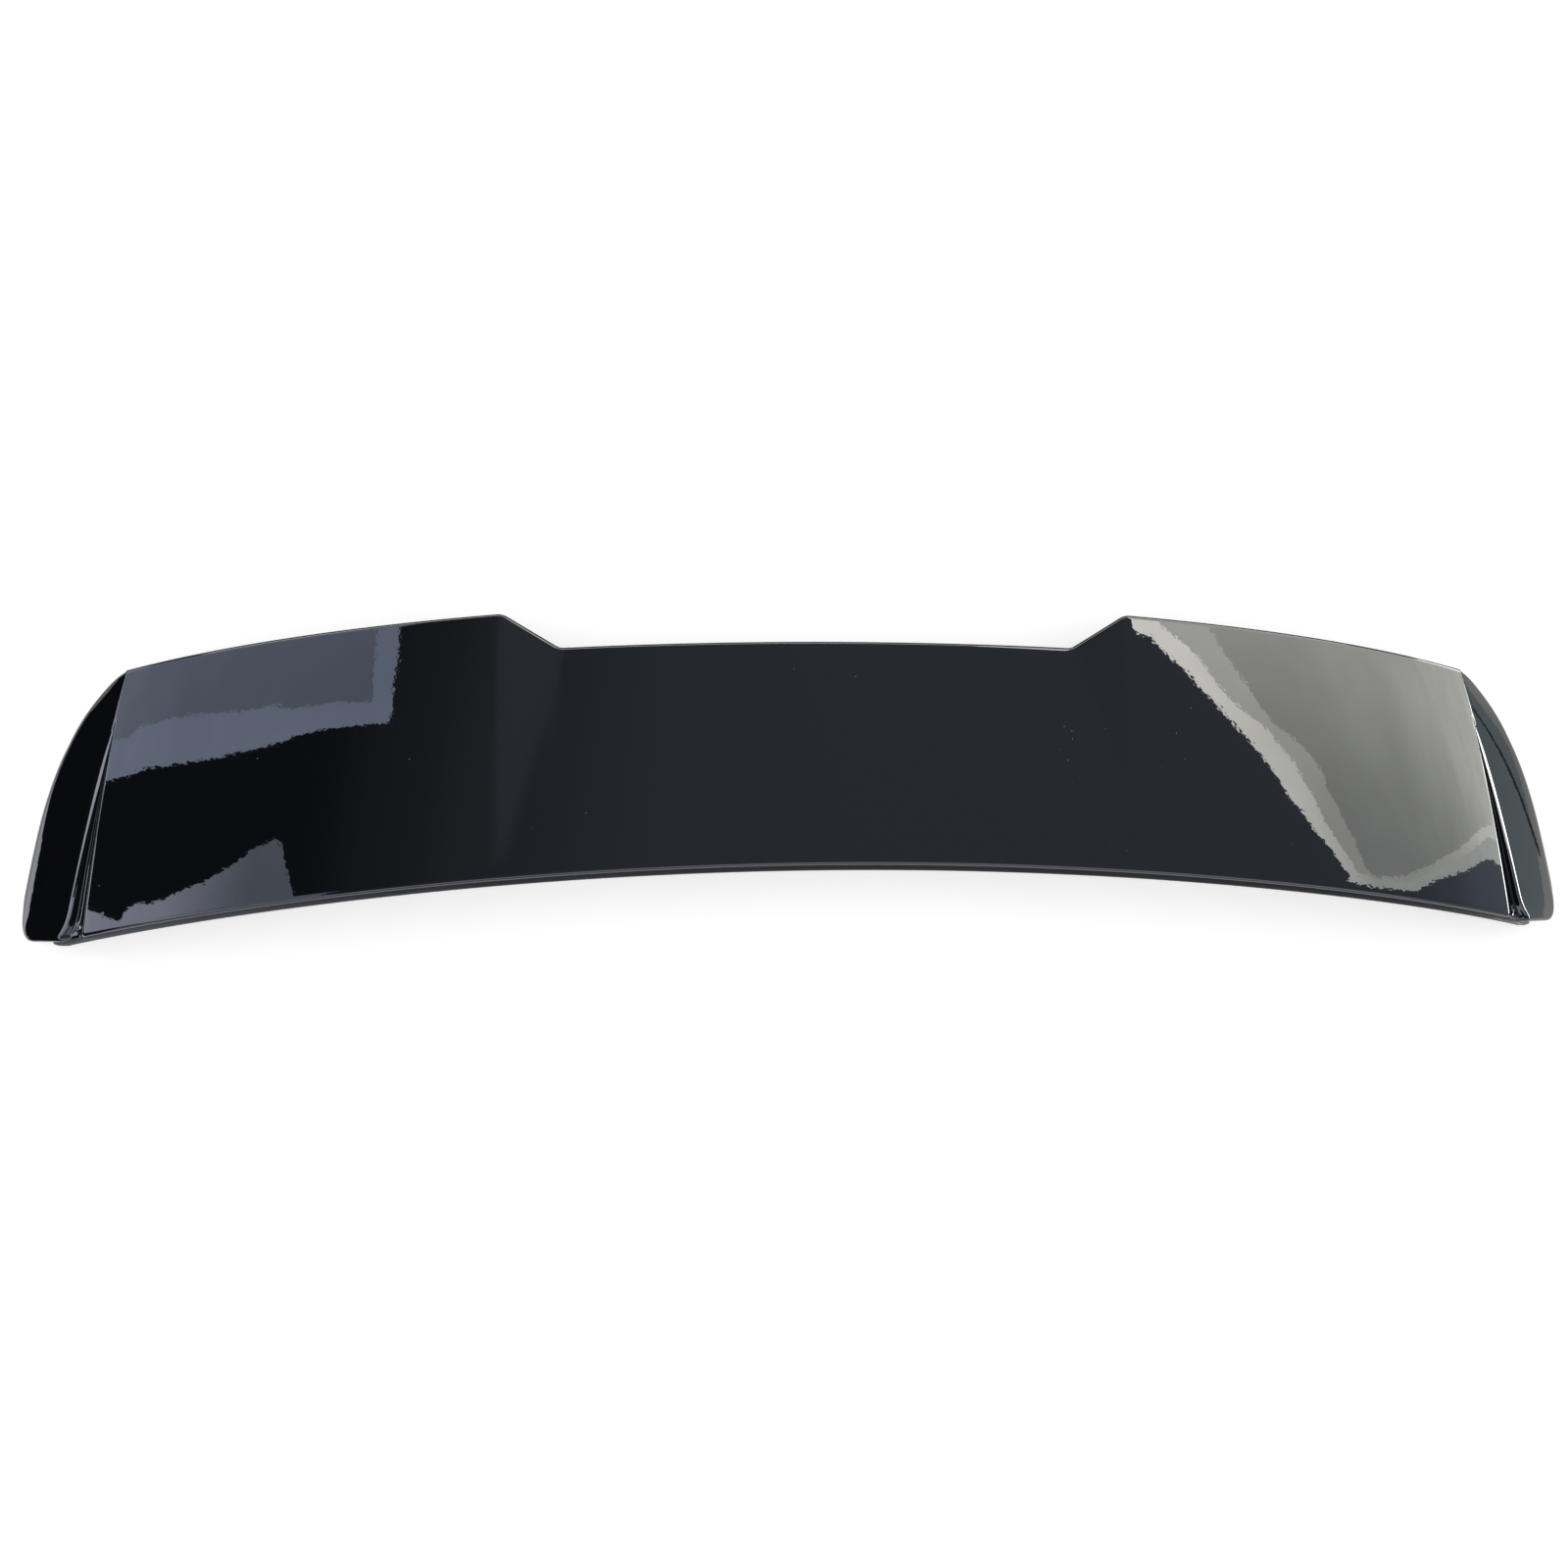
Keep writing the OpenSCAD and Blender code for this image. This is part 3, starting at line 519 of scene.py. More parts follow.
def rim_radius(p, share_v, at_front, at_side):
    """Radius of the rolled edge all round: it grows quickly along a cheek and shrinks again to the rear."""
    growing = p.lead_roll + (p.cheek_roll - p.lead_roll) * smooth(0, ROLL_BLEND, share_v)
    shrinking = p.cheek_roll + (p.rear_roll - p.cheek_roll) * (share_v - ROLL_BLEND) / (1 - ROLL_BLEND)
    side_roll = np.where(share_v < ROLL_BLEND, growing, shrinking)
    return np.where(at_side, side_roll, np.where(at_front, p.lead_roll, p.rear_roll))


def flange_foot(surface, blade_x, cheek, at_front, at_side):
    """Height of the flange's foot all round: on the floor along the cheeks, higher at the front and rear."""
    p = surface.p
    lead_low = surface.blade_z(blade_x, np.zeros(len(blade_x))) - p.lead_h
    rear_x = surface.crest_x(np.ones(1))[0]
    rear_deep = p.rear_h + (surface.corner_z() - p.rear_h) * (blade_x / rear_x) ** 2
    rear_low = np.maximum(0, surface.blade_z(blade_x, np.ones(len(blade_x))) - rear_deep)
    return np.where(at_side, 0.0, np.where(at_front, lead_low * (1 - smooth(0, 1, cheek)), rear_low))


def leaning(out, angle):
    """Directions that lean outwards from upright by an angle."""
    return out * np.sin(angle)[:, None] + UP * np.cos(angle)[:, None]


def rolled_band(border, out, tilt, inset, roll, foot):
    """Rings from a sheet's border round the rolled edge and down the flange to its foot.

    out points away from the skin, tilt is how far the sheet leans there, and inset is how far it lies inside
    the outer sheet.
    """
    centre = border + (inset - roll)[:, None] * leaning(out, tilt)
    rings = []
    for k in range(1, ROLL_STEPS + 1):
        turn = tilt + (math.pi / 2 - tilt) * k / ROLL_STEPS
        rings.append(centre + (roll - inset)[:, None] * leaning(out, turn))
    for part in (0.5, 1.0):
        low = rings[ROLL_STEPS - 1].copy()
        low[:, 2] += (foot - low[:, 2]) * part
        rings.append(low)
    return rings


def shell_faces(count_rows, count_cols, loop, ring_count):
    """Faces of the outer and the inner sheet, each with its rings, and of the strip between their feet."""
    sheet_size = count_rows * count_cols
    half_size = sheet_size + ring_count * len(loop)
    grid = np.arange(sheet_size).reshape(count_rows, count_cols)
    faces, feet = [], []
    for which in range(2):
        ids = grid + which * half_size
        sheet = np.stack([ids[:-1, :-1], ids[:-1, 1:], ids[1:, 1:], ids[1:, :-1]], axis=-1).reshape(-1, 4)
        ring = ids[loop[:, 0], loop[:, 1]]
        strips = []
        for k in range(ring_count):
            below = which * half_size + sheet_size + k * len(loop) + np.arange(len(loop))
            strips.append(quads(below, ring))
            ring = below
        part = np.concatenate([sheet] + strips)
        faces.append(part if which == 0 else part[:, ::-1])
        feet.append(ring)
    faces.append(quads(feet[1], feet[0]))
    return np.concatenate(faces)


def skin_mesh(surface):
    """Points and faces of the outer skin: two sheets, joined by the rolled edge and its flange."""
    columns = both_halves(half_columns(SKIN_STEPS))
    v = row_shares(SKIN_ROWS)
    base, q, rows = grid_parts(surface, columns, v)
    depth = surface.gap_depth(rows)
    normal = grid_normals(base)
    wall = surface.p.skin_wall
    outer = base - (depth * surface.channel_form(q) + surface.dimple(base))[..., None] * UP
    under = base - (depth * surface.under_form(q))[..., None] * UP
    inner = under - wall * normal

    # The rim: each place's direction outwards, and how far the sheet leans towards it
    loop = rim_order(*base.shape[:2])
    jj, ii = loop[:, 0], loop[:, 1]
    plan = base[jj, ii]
    step = np.roll(plan, -1, axis=0) - np.roll(plan, 1, axis=0)
    out = np.stack([step[:, 1], -step[:, 0], np.zeros(len(loop))], axis=-1)
    out /= np.linalg.norm(out, axis=-1, keepdims=True)
    face_up = normal[jj, ii]
    tilt = np.arctan2((face_up * out).sum(-1), face_up[:, 2])

    # The zone and share of each place of the rim, and its roll and foot
    at_front = jj == 0
    at_side = (jj > 0) & (jj < len(v) - 1)
    kinds = np.array([(zone, t) for _, zone, t in columns])[ii]
    on_cheek = kinds[:, 0] == CHEEK
    cheek = np.where(on_cheek, kinds[:, 1], 0.0)
    blade_x = np.where(on_cheek, surface.crest_x(v[jj]), np.abs(plan[:, 0]))
    roll = rim_radius(surface.p, v[jj], at_front, at_side)
    foot = flange_foot(surface, blade_x, cheek, at_front, at_side)

    inner[jj, ii] = under[jj, ii] - wall * leaning(out, tilt)
    outer_band = rolled_band(outer[jj, ii], out, tilt, 0.0, roll, foot)
    inner_band = rolled_band(inner[jj, ii], out, tilt, wall, roll, foot)
    points = [outer.reshape(-1, 3)] + outer_band + [inner.reshape(-1, 3)] + inner_band
    return np.concatenate(points), shell_faces(*base.shape[:2], loop, len(outer_band))


def keep_in_box(points, node):
    """Holds points inside a node's box, so that the looks never outgrow the solid."""
    low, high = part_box(node)
    return np.clip(points, np.array(low), np.array(high))


# Length of the drill, which stands upright with its middle on the place that it bores
DRILL_LEN = 0.08


def cut_holes(piece, centres, radius):
    """Bores upright holes through a piece at the given places."""
    for centre in centres:
        bpy.ops.mesh.primitive_cylinder_add(vertices=48, radius=radius, depth=DRILL_LEN, location=centre)
        drill = bpy.context.object
        cut = piece.modifiers.new("Drill", "BOOLEAN")
        cut.operation = "DIFFERENCE"
        cut.solver = "EXACT"
        cut.object = drill
        evaluated = piece.evaluated_get(bpy.context.evaluated_depsgraph_get())
        mesh = bpy.data.meshes.new_from_object(evaluated)
        piece.modifiers.remove(cut)
        piece.data = mesh
        bpy.data.objects.remove(drill)


def add_parts(piece, parts, node, material):
    """Joins further closed parts to a piece's mesh, inside its node's box."""
    points, faces = join_meshes(parts)
    extra = new_piece("extra", keep_in_box(points, node), faces, material)
    build = bmesh.new()
    build.from_mesh(piece.data)
    build.from_mesh(extra.data)
    build.to_mesh(piece.data)
    build.free()
    bpy.data.objects.remove(extra)


def drain_places(surface):
    """Middle of each drain hole, on the channel's floor."""
    x, y, v = surface.drain_xy()
    z = float(surface.blade_z(np.array([x]), v)[0] - surface.gap_depth(v)[0])
    return [(side * x, y, z) for side in (-1, 1)]


# Materials

def new_material(name, base):
    """A material with a Principled shader; returns it with its node tree and shader."""
    material = bpy.data.materials.new(name)
    material.use_nodes = True
    tree = material.node_tree
    shader = tree.nodes["Principled BSDF"]
    shader.inputs["Base Color"].default_value = (*base, 1.0)
    return material, tree, shader


def bare_material(name):
    """A material with nothing but its output; returns it with its node tree and that output."""
    material = bpy.data.materials.new(name)
    material.use_nodes = True
    tree = material.node_tree
    tree.nodes.clear()
    return material, tree, tree.nodes.new("ShaderNodeOutputMaterial")


def maths(tree, operation, first, second):
    """A Math node; the second value is a number or a socket."""
    node = tree.nodes.new("ShaderNodeMath")
    node.operation = operation
    tree.links.new(first, node.inputs[0])
    if isinstance(second, (int, float)):
        node.inputs[1].default_value = second
    else:
        tree.links.new(second, node.inputs[1])
    return node.outputs["Value"]


def mixed(tree, factor, first, second):
    """A colour between two, each of which is a tuple or a socket."""
    node = tree.nodes.new("ShaderNodeMix")
    node.data_type = "RGBA"
    tree.links.new(factor, node.inputs["Factor"])
    for name, value in (("A", first), ("B", second)):
        if isinstance(value, tuple):
            node.inputs[name].default_value = (*value, 1.0)
        else:
            tree.links.new(value, node.inputs[name])
    return node.outputs["Result"]


def object_texture(tree, kind, **inputs):
    """A texture node on the piece's own coordinates, with some of its inputs set."""
    place = tree.nodes.new("ShaderNodeTexCoord")
    texture = tree.nodes.new(kind)
    for name, value in inputs.items():
        texture.inputs[name].default_value = value
    tree.links.new(place.outputs["Object"], texture.inputs["Vector"])
    return texture


def cloud_noise(tree, scale, detail=2.0, roughness=0.5):
    """Grey value of a noise; scale is in ripples to the metre."""
    noise = object_texture(tree, "ShaderNodeTexNoise", Scale=scale, Detail=detail, Roughness=roughness)
    return noise.outputs["Fac"]


def cells(tree, scale):
    """Distance from the middle of scattered cells; scale is in cells to the metre."""
    return object_texture(tree, "ShaderNodeTexVoronoi", Scale=scale).outputs["Distance"]


def ramp_between(tree, source, low, high, start, end):
    """Maps a grey value from one range to another."""
    node = tree.nodes.new("ShaderNodeMapRange")
    node.inputs["From Min"].default_value = low
    node.inputs["From Max"].default_value = high
    node.inputs["To Min"].default_value = start
    node.inputs["To Max"].default_value = end
    tree.links.new(source, node.inputs["Value"])
    return node.outputs["Result"]


def bump_from(tree, shader, height, strength, distance):
    """Bump on the shader's normal."""
    bump = tree.nodes.new("ShaderNodeBump")
    bump.inputs["Strength"].default_value = strength
    bump.inputs["Distance"].default_value = distance
    tree.links.new(height, bump.inputs["Height"])
    tree.links.new(bump.outputs["Normal"], shader.inputs["Normal"])


def roughness_from(tree, shader, cloud, smoothest, roughest):
    """Roughness that drifts with a noise between two levels."""
    level = ramp_between(tree, cloud, 0.3, 0.7, smoothest, roughest)
    tree.links.new(level, shader.inputs["Roughness"])


def gloss_black():
    """Moulded gloss black: a faint orange peel, a film of dust and single specks."""
    finish = settings("finish")
    material, tree, shader = new_material("Gloss black", finish.gloss)
    shader.inputs["IOR"].default_value = 1.5
    bump_from(tree, shader, cloud_noise(tree, 260.0, 1.0), 0.03, 0.0004)
    film = cloud_noise(tree, 9.0, 6.0, 0.7)
    dot = ramp_between(tree, cells(tree, 85.0), 0.020, 0.034, 1.0, 0.0)
    rare = ramp_between(tree, film, 0.50, 0.62, 0.0, 1.0)
    tint = mixed(tree, maths(tree, "MULTIPLY", dot, rare), tuple(finish.gloss), tuple(finish.dust))
    tree.links.new(tint, shader.inputs["Base Color"])
    roughness_from(tree, shader, film, 0.010, 0.024)
    return material


def satin_black():
    """Fine-grained satin moulding."""
    material, tree, shader = new_material("Satin black", settings("finish").satin)
    bump_from(tree, shader, cells(tree, 1100.0), 0.25, 0.0002)
    roughness_from(tree, shader, cloud_noise(tree, 14.0, 5.0, 0.6), 0.40, 0.56)
    return material


def foam_black(name, scale):
    """Closed-cell foam with open cut cells, with painted shade in their hollows and a lighter painted rim
    round each.
    """
    base = settings("finish").foam
    material, tree, shader = new_material(name, base)
    shader.inputs["Roughness"].default_value = 0.9
    cell = cells(tree, scale)
    bump_from(tree, shader, cell, 0.6, 0.0004)
    # Painted shade and light: inside is a shaded copy of the foam colour for each cell's hollow, and skin is
    # a lit copy for its rim.
    inside, skin = (tuple(level * part for part in base) for level in (0.55, 1.3))
    tint = mixed(tree, ramp_between(tree, cell, 0.1, 0.6, 0.0, 1.0), inside, skin)
    tree.links.new(tint, shader.inputs["Base Color"])
    return material


def turned_brass():
    """Brass with fine marks of the turning tool."""
    material, tree, shader = new_material("Turned brass", settings("finish").brass)
    shader.inputs["Metallic"].default_value = 1.0
    marks = cloud_noise(tree, 900.0, 3.0)
    roughness_from(tree, shader, marks, 0.20, 0.36)
    bump_from(tree, shader, marks, 0.15, 0.0001)
    return material


def tape_liner():
    """Thin, slightly wrinkled release film on the tape."""
    material, tree, shader = new_material("Tape liner", settings("finish").tape)
    bump_from(tree, shader, cloud_noise(tree, 60.0, 3.0, 0.6), 0.25, 0.0006)
    roughness_from(tree, shader, cloud_noise(tree, 22.0, 4.0, 0.6), 0.26, 0.42)
    return material


# Rings and lofts of the lower skin

# A rounded corner takes up at most this share of each edge beside it
CORNER_MOST = 0.45


def rounded_ring(corners, radii, steps):
    """Rounds the corners of closed rings; corners is (rings, corners, 3) and radii one per corner."""
    before = np.roll(corners, 1, axis=1)
    after = np.roll(corners, -1, axis=1)
    result = []
    for k, radius in enumerate(radii):
        p = corners[:, k]
        if radius <= 0:
            result.append(p)
            continue
        back = before[:, k] - p
        ahead = after[:, k] - p
        back_len = np.maximum(np.linalg.norm(back, axis=-1, keepdims=True), 1e-9)
        ahead_len = np.maximum(np.linalg.norm(ahead, axis=-1, keepdims=True), 1e-9)
        start = p + back * np.minimum(CORNER_MOST, radius / back_len)
        end = p + ahead * np.minimum(CORNER_MOST, radius / ahead_len)
        for t in np.linspace(0, 1, steps + 1):
            result.append((1 - t) ** 2 * start + 2 * t * (1 - t) * p + t**2 * end)
    return np.stack(result, axis=1)


def loft_mesh(rings):
    """Points and faces of a closed loft through rings, with capped ends."""
    count, size = rings.shape[:2]
    ids = np.arange(count * size).reshape(count, size)
    faces = []
    for k in range(count - 1):
        faces.extend(quads(ids[k], ids[k + 1]).tolist())
    faces.append(ids[0].tolist())
    faces.append(ids[-1][::-1].tolist())
    return rings.reshape(-1, 3), faces


def lathe_mesh(profile, centre, segments):
    """Points and faces of a profile of (radius, height) turned round an upright axis; radius 0 closes it."""
    angles = np.linspace(0, 2 * math.pi, segments, endpoint=False)
    points, rings = [], []
    x, y, z = centre
    for radius, height in profile:
        start = len(points)
        if radius <= 1e-7:
            points.append((x, y, z + height))
            rings.append([start])
            continue
        for angle in angles:
            points.append((x + radius * math.cos(angle), y + radius * math.sin(angle), z + height))
        rings.append(list(range(start, start + segments)))
    faces = []
    for first, second in zip(rings, rings[1:] + rings[:1]):
        if len(first) == 1 and len(second) == 1:
            continue
        for k in range(segments):
            m = (k + 1) % segments
            if len(first) == 1:
                faces.append((first[0], second[m], second[k]))
            elif len(second) == 1:
                faces.append((first[k], first[m], second[0]))
            else:
                faces.append((first[k], first[m], second[m], second[k]))
    return points, faces


def join_meshes(parts):
    """Several pairs of points and faces as one pair."""
    points, faces = [], []
    for some_points, some_faces in parts:
        start = len(points)
        points.extend(tuple(q) for q in some_points)
        faces.extend(tuple(int(i) + start for i in f) for f in some_faces)
    return points, faces


class Underside:
    """Sections of the lower skin across the columns of the blade, as the solid has them."""

    # Where the flat ledge ends, behind the blade's leading edge
    LEDGE_END = 0.022
    # Shares of the chord between which the pan runs straight, and how far it has risen at the rear one, as a
    # part of the way to the rear flange's foot
    PAN_FRONT = 0.24
    PAN_BACK = 0.80
    PAN_RISE = 0.35
    # How far inside the blade's end the pan has risen to the ledge's level
    END_GAP = 0.006
    # How far the wall behind the ledge leans to the rear
    SHELF_LEAN = 0.002
    # Share of the chord at which the rear lip's height is taken, and the room above it
    LIP_TOP = 0.99
    LIP_ROOM = 0.003
    # More room under a channel, and how far it reaches inside the blade's side edge
    CHANNEL_ROOM = 0.0003
    EDGE_STRIP = 0.003
    # Steps of share along the tab that closes a channel from below, and steps between its end's points
    TAB_STEP = 0.004
    TAB_EDGE = 0.0002
    # The ledge's run-on in front of a cheek: its share of the cheek's width, its root inside the pan, how
    # much thinner it is than the ledge, its width at the tip, and the radii of its section
    EAR_SHARE = 0.5
    EAR_ROOT = 0.003
    EAR_INSET = 0.0003
    EAR_TIP = 0.0006
    EAR_CORNERS = (0.0008, 0.0003, 0.0003, 0.0006)
    # One radius for each corner of a section, from the nose's lower corner round to its upper one
    CORNERS = (0.0012, 0.005, 0.009, 0.009, 0.0009, 0.0006, 0.0006, 0.004, 0.006, 0.006, 0.004, 0.0010)

    def __init__(self, surface, columns):
        self.surface = surface
        self.columns = columns
        self.p = surface.p
        self.zone = np.array([zone for _, zone, _ in columns])
        self.t = np.array([t for _, _, t in columns])
        self.wall = np.array([0.0, 0.0, self.p.lower_wall])
        self.ledge_v = (self.LEDGE_END - self.p.lead_roll) / self.p.end_chord

    def at(self, v):
        """Blade points of every column at one share of the chord, and the seat under the outer skin."""
        surface = self.surface
        base, q, _ = grid_parts(surface, self.columns, np.array([v]))
        base, q = base[0], q[0]
        across = np.abs(base[:, 0])
        drop = surface.gap_depth(v) * surface.under_form(q)
        seat = base[:, 2] - drop - self.p.skin_wall / np.cos(surface.crown_angle(across)) - self.p.bond
        near_channel = across >= surface.edge_x(v) - self.EDGE_STRIP
        return base, seat - np.where(near_channel, self.CHANNEL_ROOM, 0.0)

    def at_height(self, v, height, forward=0.0):
        """Points of every column at one share of the chord, at a given height."""
        base, _ = self.at(v)
        return np.stack([base[:, 0], base[:, 1] - forward, height], axis=-1)

    def ledge_z(self, v):
        """Top of the ledge, level with the front flange's foot."""
        base, seat = self.at(v)
        return np.minimum(base[:, 2] - self.p.lead_h, seat)

    def pan_z(self, v, depth):
        """Underside of the pan, which rises towards the blade's ends."""
        base, _ = self.at(v)
        across = np.abs(base[:, 0])
        full = self.p.pan_w / 2
        fade = 1 - np.clip((across - full) / (self.surface.half_trail - self.END_GAP - full), 0, 1)
        shallow = self.p.lead_h + self.p.lower_wall
        return base[:, 2] - (shallow + (depth - shallow) * fade * fade * (3 - 2 * fade))

    def low_z(self, v, depth):
        """Underside of the lower skin: the pan, and close under the outer skin at the channels."""
        _, seat = self.at(v)
        close = seat - self.p.lower_wall
        return np.where(self.zone < CHANNEL, np.minimum(self.pan_z(v, depth), close), close)

    def rear_face(self):
        """Inner face of the outer skin's trailing flange, at its lower edge."""
        surface = self.surface
        base, _ = self.at(1.0)
        ahead, _ = self.at(0.98)
        step = np.gradient(base[:, :2], axis=0)
        out = np.stack([-step[:, 1], step[:, 0]], axis=-1)
        out /= np.linalg.norm(out, axis=-1, keepdims=True)
        tilt = np.arctan2(ahead[:, 2] - base[:, 2], base[:, 1] - ahead[:, 1])
        reach = self.p.rear_roll * (1 - np.sin(tilt)) - self.p.skin_wall
        plan = base[:, :2] + out * reach[:, None]
        share_x = np.abs(base[:, 0]) / surface.crest_x(np.ones(1))[0]
        deep = self.p.rear_h + (surface.corner_z() - self.p.rear_h) * share_x**2
        return np.concatenate([plan, np.maximum(0, base[:, 2] - deep)[:, None]], axis=-1)

    def sections(self):
        """Corner points of every column's section."""
        p, up = self.p, self.wall
        nose = self.at_height(0.0, self.ledge_z(0.0), p.lead_roll + p.ledge)
        shelf = self.at_height(self.ledge_v, self.ledge_z(self.ledge_v))
        back_depth = p.pan_depth + (p.rear_h - p.pan_depth) * self.PAN_RISE
        front = self.at_height(self.PAN_FRONT, self.low_z(self.PAN_FRONT, p.pan_depth))
        rear = self.at_height(self.PAN_BACK, self.low_z(self.PAN_BACK, back_depth))
        face = self.rear_face() - np.array([0.0, p.bond, 0.0])
        _, seat = self.at(self.LIP_TOP)
        lip = seat - np.where(self.zone < CHANNEL, self.LIP_ROOM, 0.0)
        face_top = np.stack([face[:, 0], face[:, 1], lip], axis=-1)
        inside = face - np.array([0.0, p.lower_wall, 0.0])
        inside_top = np.stack([inside[:, 0], inside[:, 1], lip], axis=-1)
        lean = np.array([0.0, self.SHELF_LEAN, 0.0])
        pan = [nose - up, shelf - up, front, rear, face, face_top, inside_top,
               inside + up, rear + up, front + up, shelf + lean, nose]
        edge = np.array([0.0, self.TAB_EDGE, 0.0])
        tops = []
        for k in (1, 2, 3):
            v = self.ledge_v + k * self.TAB_STEP
            tops.append(self.at_height(v, self.ledge_z(v)))
        tab = [nose - up, shelf - up, tops[0] - up, tops[1] - up, tops[2] - up, tops[2],
               tops[2] - edge, tops[2] - 2 * edge, tops[1], tops[0], shelf, nose]
        is_tab = ((self.zone == CHANNEL) & (self.t > 0.5))[:, None, None]
        return np.where(is_tab, np.stack(tab, axis=1), np.stack(pan, axis=1))

    def ear_rings(self, side):
        """Sections of the ledge where it runs on in front of a cheek."""
        p, surface = self.p, self.surface
        t = np.linspace(0, 1, 25)
        line = [(side, CHEEK, part) for part in t * self.EAR_SHARE]
        base, _, _ = grid_parts(surface, line, np.array([0.0]))
        base = base[0]
        step = np.gradient(base[:, :2], axis=0) * side
        out = np.stack([step[:, 1], -step[:, 0]], axis=-1)
        out /= np.linalg.norm(out, axis=-1, keepdims=True)
        crest = surface.crest_x(np.zeros(2))
        reach = np.array([0.0, 0.01])
        rise_z, rise_y = np.diff(surface.blade_z(crest, reach)), np.diff(surface.blade_y(crest, reach))
        plan = base[:, :2] + out * p.lead_roll * (1 - np.sin(np.arctan2(rise_z, rise_y)))
        fall = surface.cheek_fall(t * self.EAR_SHARE * surface.cheek_top(np.zeros(1)), np.zeros(1))
        start = surface.blade_z(surface.crest_x(np.zeros(1)), np.zeros(1)) - p.lead_h
        top = start - self.EAR_INSET - fall
        low = top - p.lower_wall + 2 * self.EAR_INSET
        width = np.maximum(self.EAR_TIP, (p.ledge - p.bond - self.EAR_INSET) * np.sqrt(1 - t * t))
        near = plan[:, 1] - p.bond
        rings = np.stack([np.stack([plan[:, 0], near - width, low], axis=-1),
                          np.stack([plan[:, 0], near, low], axis=-1),
                          np.stack([plan[:, 0], near, top], axis=-1),
                          np.stack([plan[:, 0], near - width, top], axis=-1)], axis=1)
        rise = self.EAR_ROOT * np.tan(surface.crown_angle(surface.crest_x(np.zeros(1))))[0]
        root = rings[:1] + np.array([-side * self.EAR_ROOT, 0.0, rise])
        return rounded_ring(np.concatenate([root, rings]), self.EAR_CORNERS, 3)


# Chamfer of the bosses and pins
CHAMFER = 0.0006

# The four places of an insert with its washer
FIXINGS = ("outer_left", "inner_left", "inner_right", "outer_right")


def screw_place(name):
    """Middle of an insert's seat."""
    return mount("screw_" + name)["pos_m"]


def lower_skin_parts(under):
    """The lower skin's ears, bosses and pins, each a closed part that its pan is joined to."""
    f = settings("fixings")
    parts = [loft_mesh(under.ear_rings(side)) for side in (-1, 1)]
    high = f.insert_len + f.boss_cap
    boss = [(f.insert_r + CHAMFER, 0.0), (f.boss_r - CHAMFER, 0.0), (f.boss_r, CHAMFER), (f.boss_r, high),
            (0.0, high), (0.0, f.insert_len), (f.insert_r, f.insert_len), (f.insert_r, CHAMFER)]
    for name in FIXINGS:
        parts.append(lathe_mesh(boss, screw_place(name), 64))
    foot_r = f.pin_r - f.pin_tip / 2
    pin = [(0.0, 0.0), (foot_r - CHAMFER, 0.0), (foot_r, CHAMFER), (f.pin_r, f.pin_tip),
           (f.pin_r, f.pin_len - CHAMFER), (f.pin_r + CHAMFER, f.pin_len),
           (f.shoulder_r - CHAMFER, f.pin_len), (f.shoulder_r, f.pin_len + CHAMFER),
           (f.shoulder_r, f.pin_len + f.shoulder_root), (0.0, f.pin_len + f.shoulder_root)]
    for name in ("pin_left", "pin_right"):
        x, y, z = mount(name)["pos_m"]
        parts.append(lathe_mesh(pin, (x, y, z - f.pin_tip), 48))
    return parts


# Room between a rib and a washer or the pan's side
RIB_GAP = 0.003
# Shares of the chord at which a rib starts and ends
RIB_ENDS = (0.29, 0.72)
# How far a rib's root reaches into the pan, and how far its ends sink in
RIB_ROOT = 0.001
RIB_SINK = 0.0005
# Share of its length over which a rib rises, and share of its width that is left at its lower edge
RIB_RISE = 0.12
RIB_DRAFT = 0.8


def rib_guide(surface):
    """Points where ribs stand, each with the length of its rib."""
    f = settings("fixings")
    fixed_names = ("screw_outer_right", "screw_inner_right", "pin_right")
    fixed = [abs(mount(name)["pos_m"][0]) for name in fixed_names]
    clear = f.washer_r + f.rib_w / 2 + RIB_GAP
    places, spans = [], []
    x = f.rib_pitch / 2
    while x < surface.p.pan_w / 2 - f.rib_w - RIB_GAP:
        if min(abs(x - other) for other in fixed) > clear:
            ends = [surface.blade_y(np.array([x]), v)[0] - surface.origin_y for v in RIB_ENDS]
            for side in (-1, 1):
                places.append((side * x, sum(ends) / 2, 0.0))
                spans.append(ends[1] - ends[0])
        x += f.rib_pitch
    mesh = bpy.data.meshes.new("rib_guide")
    mesh.from_pydata(places, [], [])
    span = mesh.attributes.new("span", "FLOAT", "POINT")
    span.data.foreach_set("value", spans)
    guide = bpy.data.objects.new("rib_guide", mesh)
    bpy.context.scene.collection.objects.link(guide)
    return guide


# Geometry Nodes

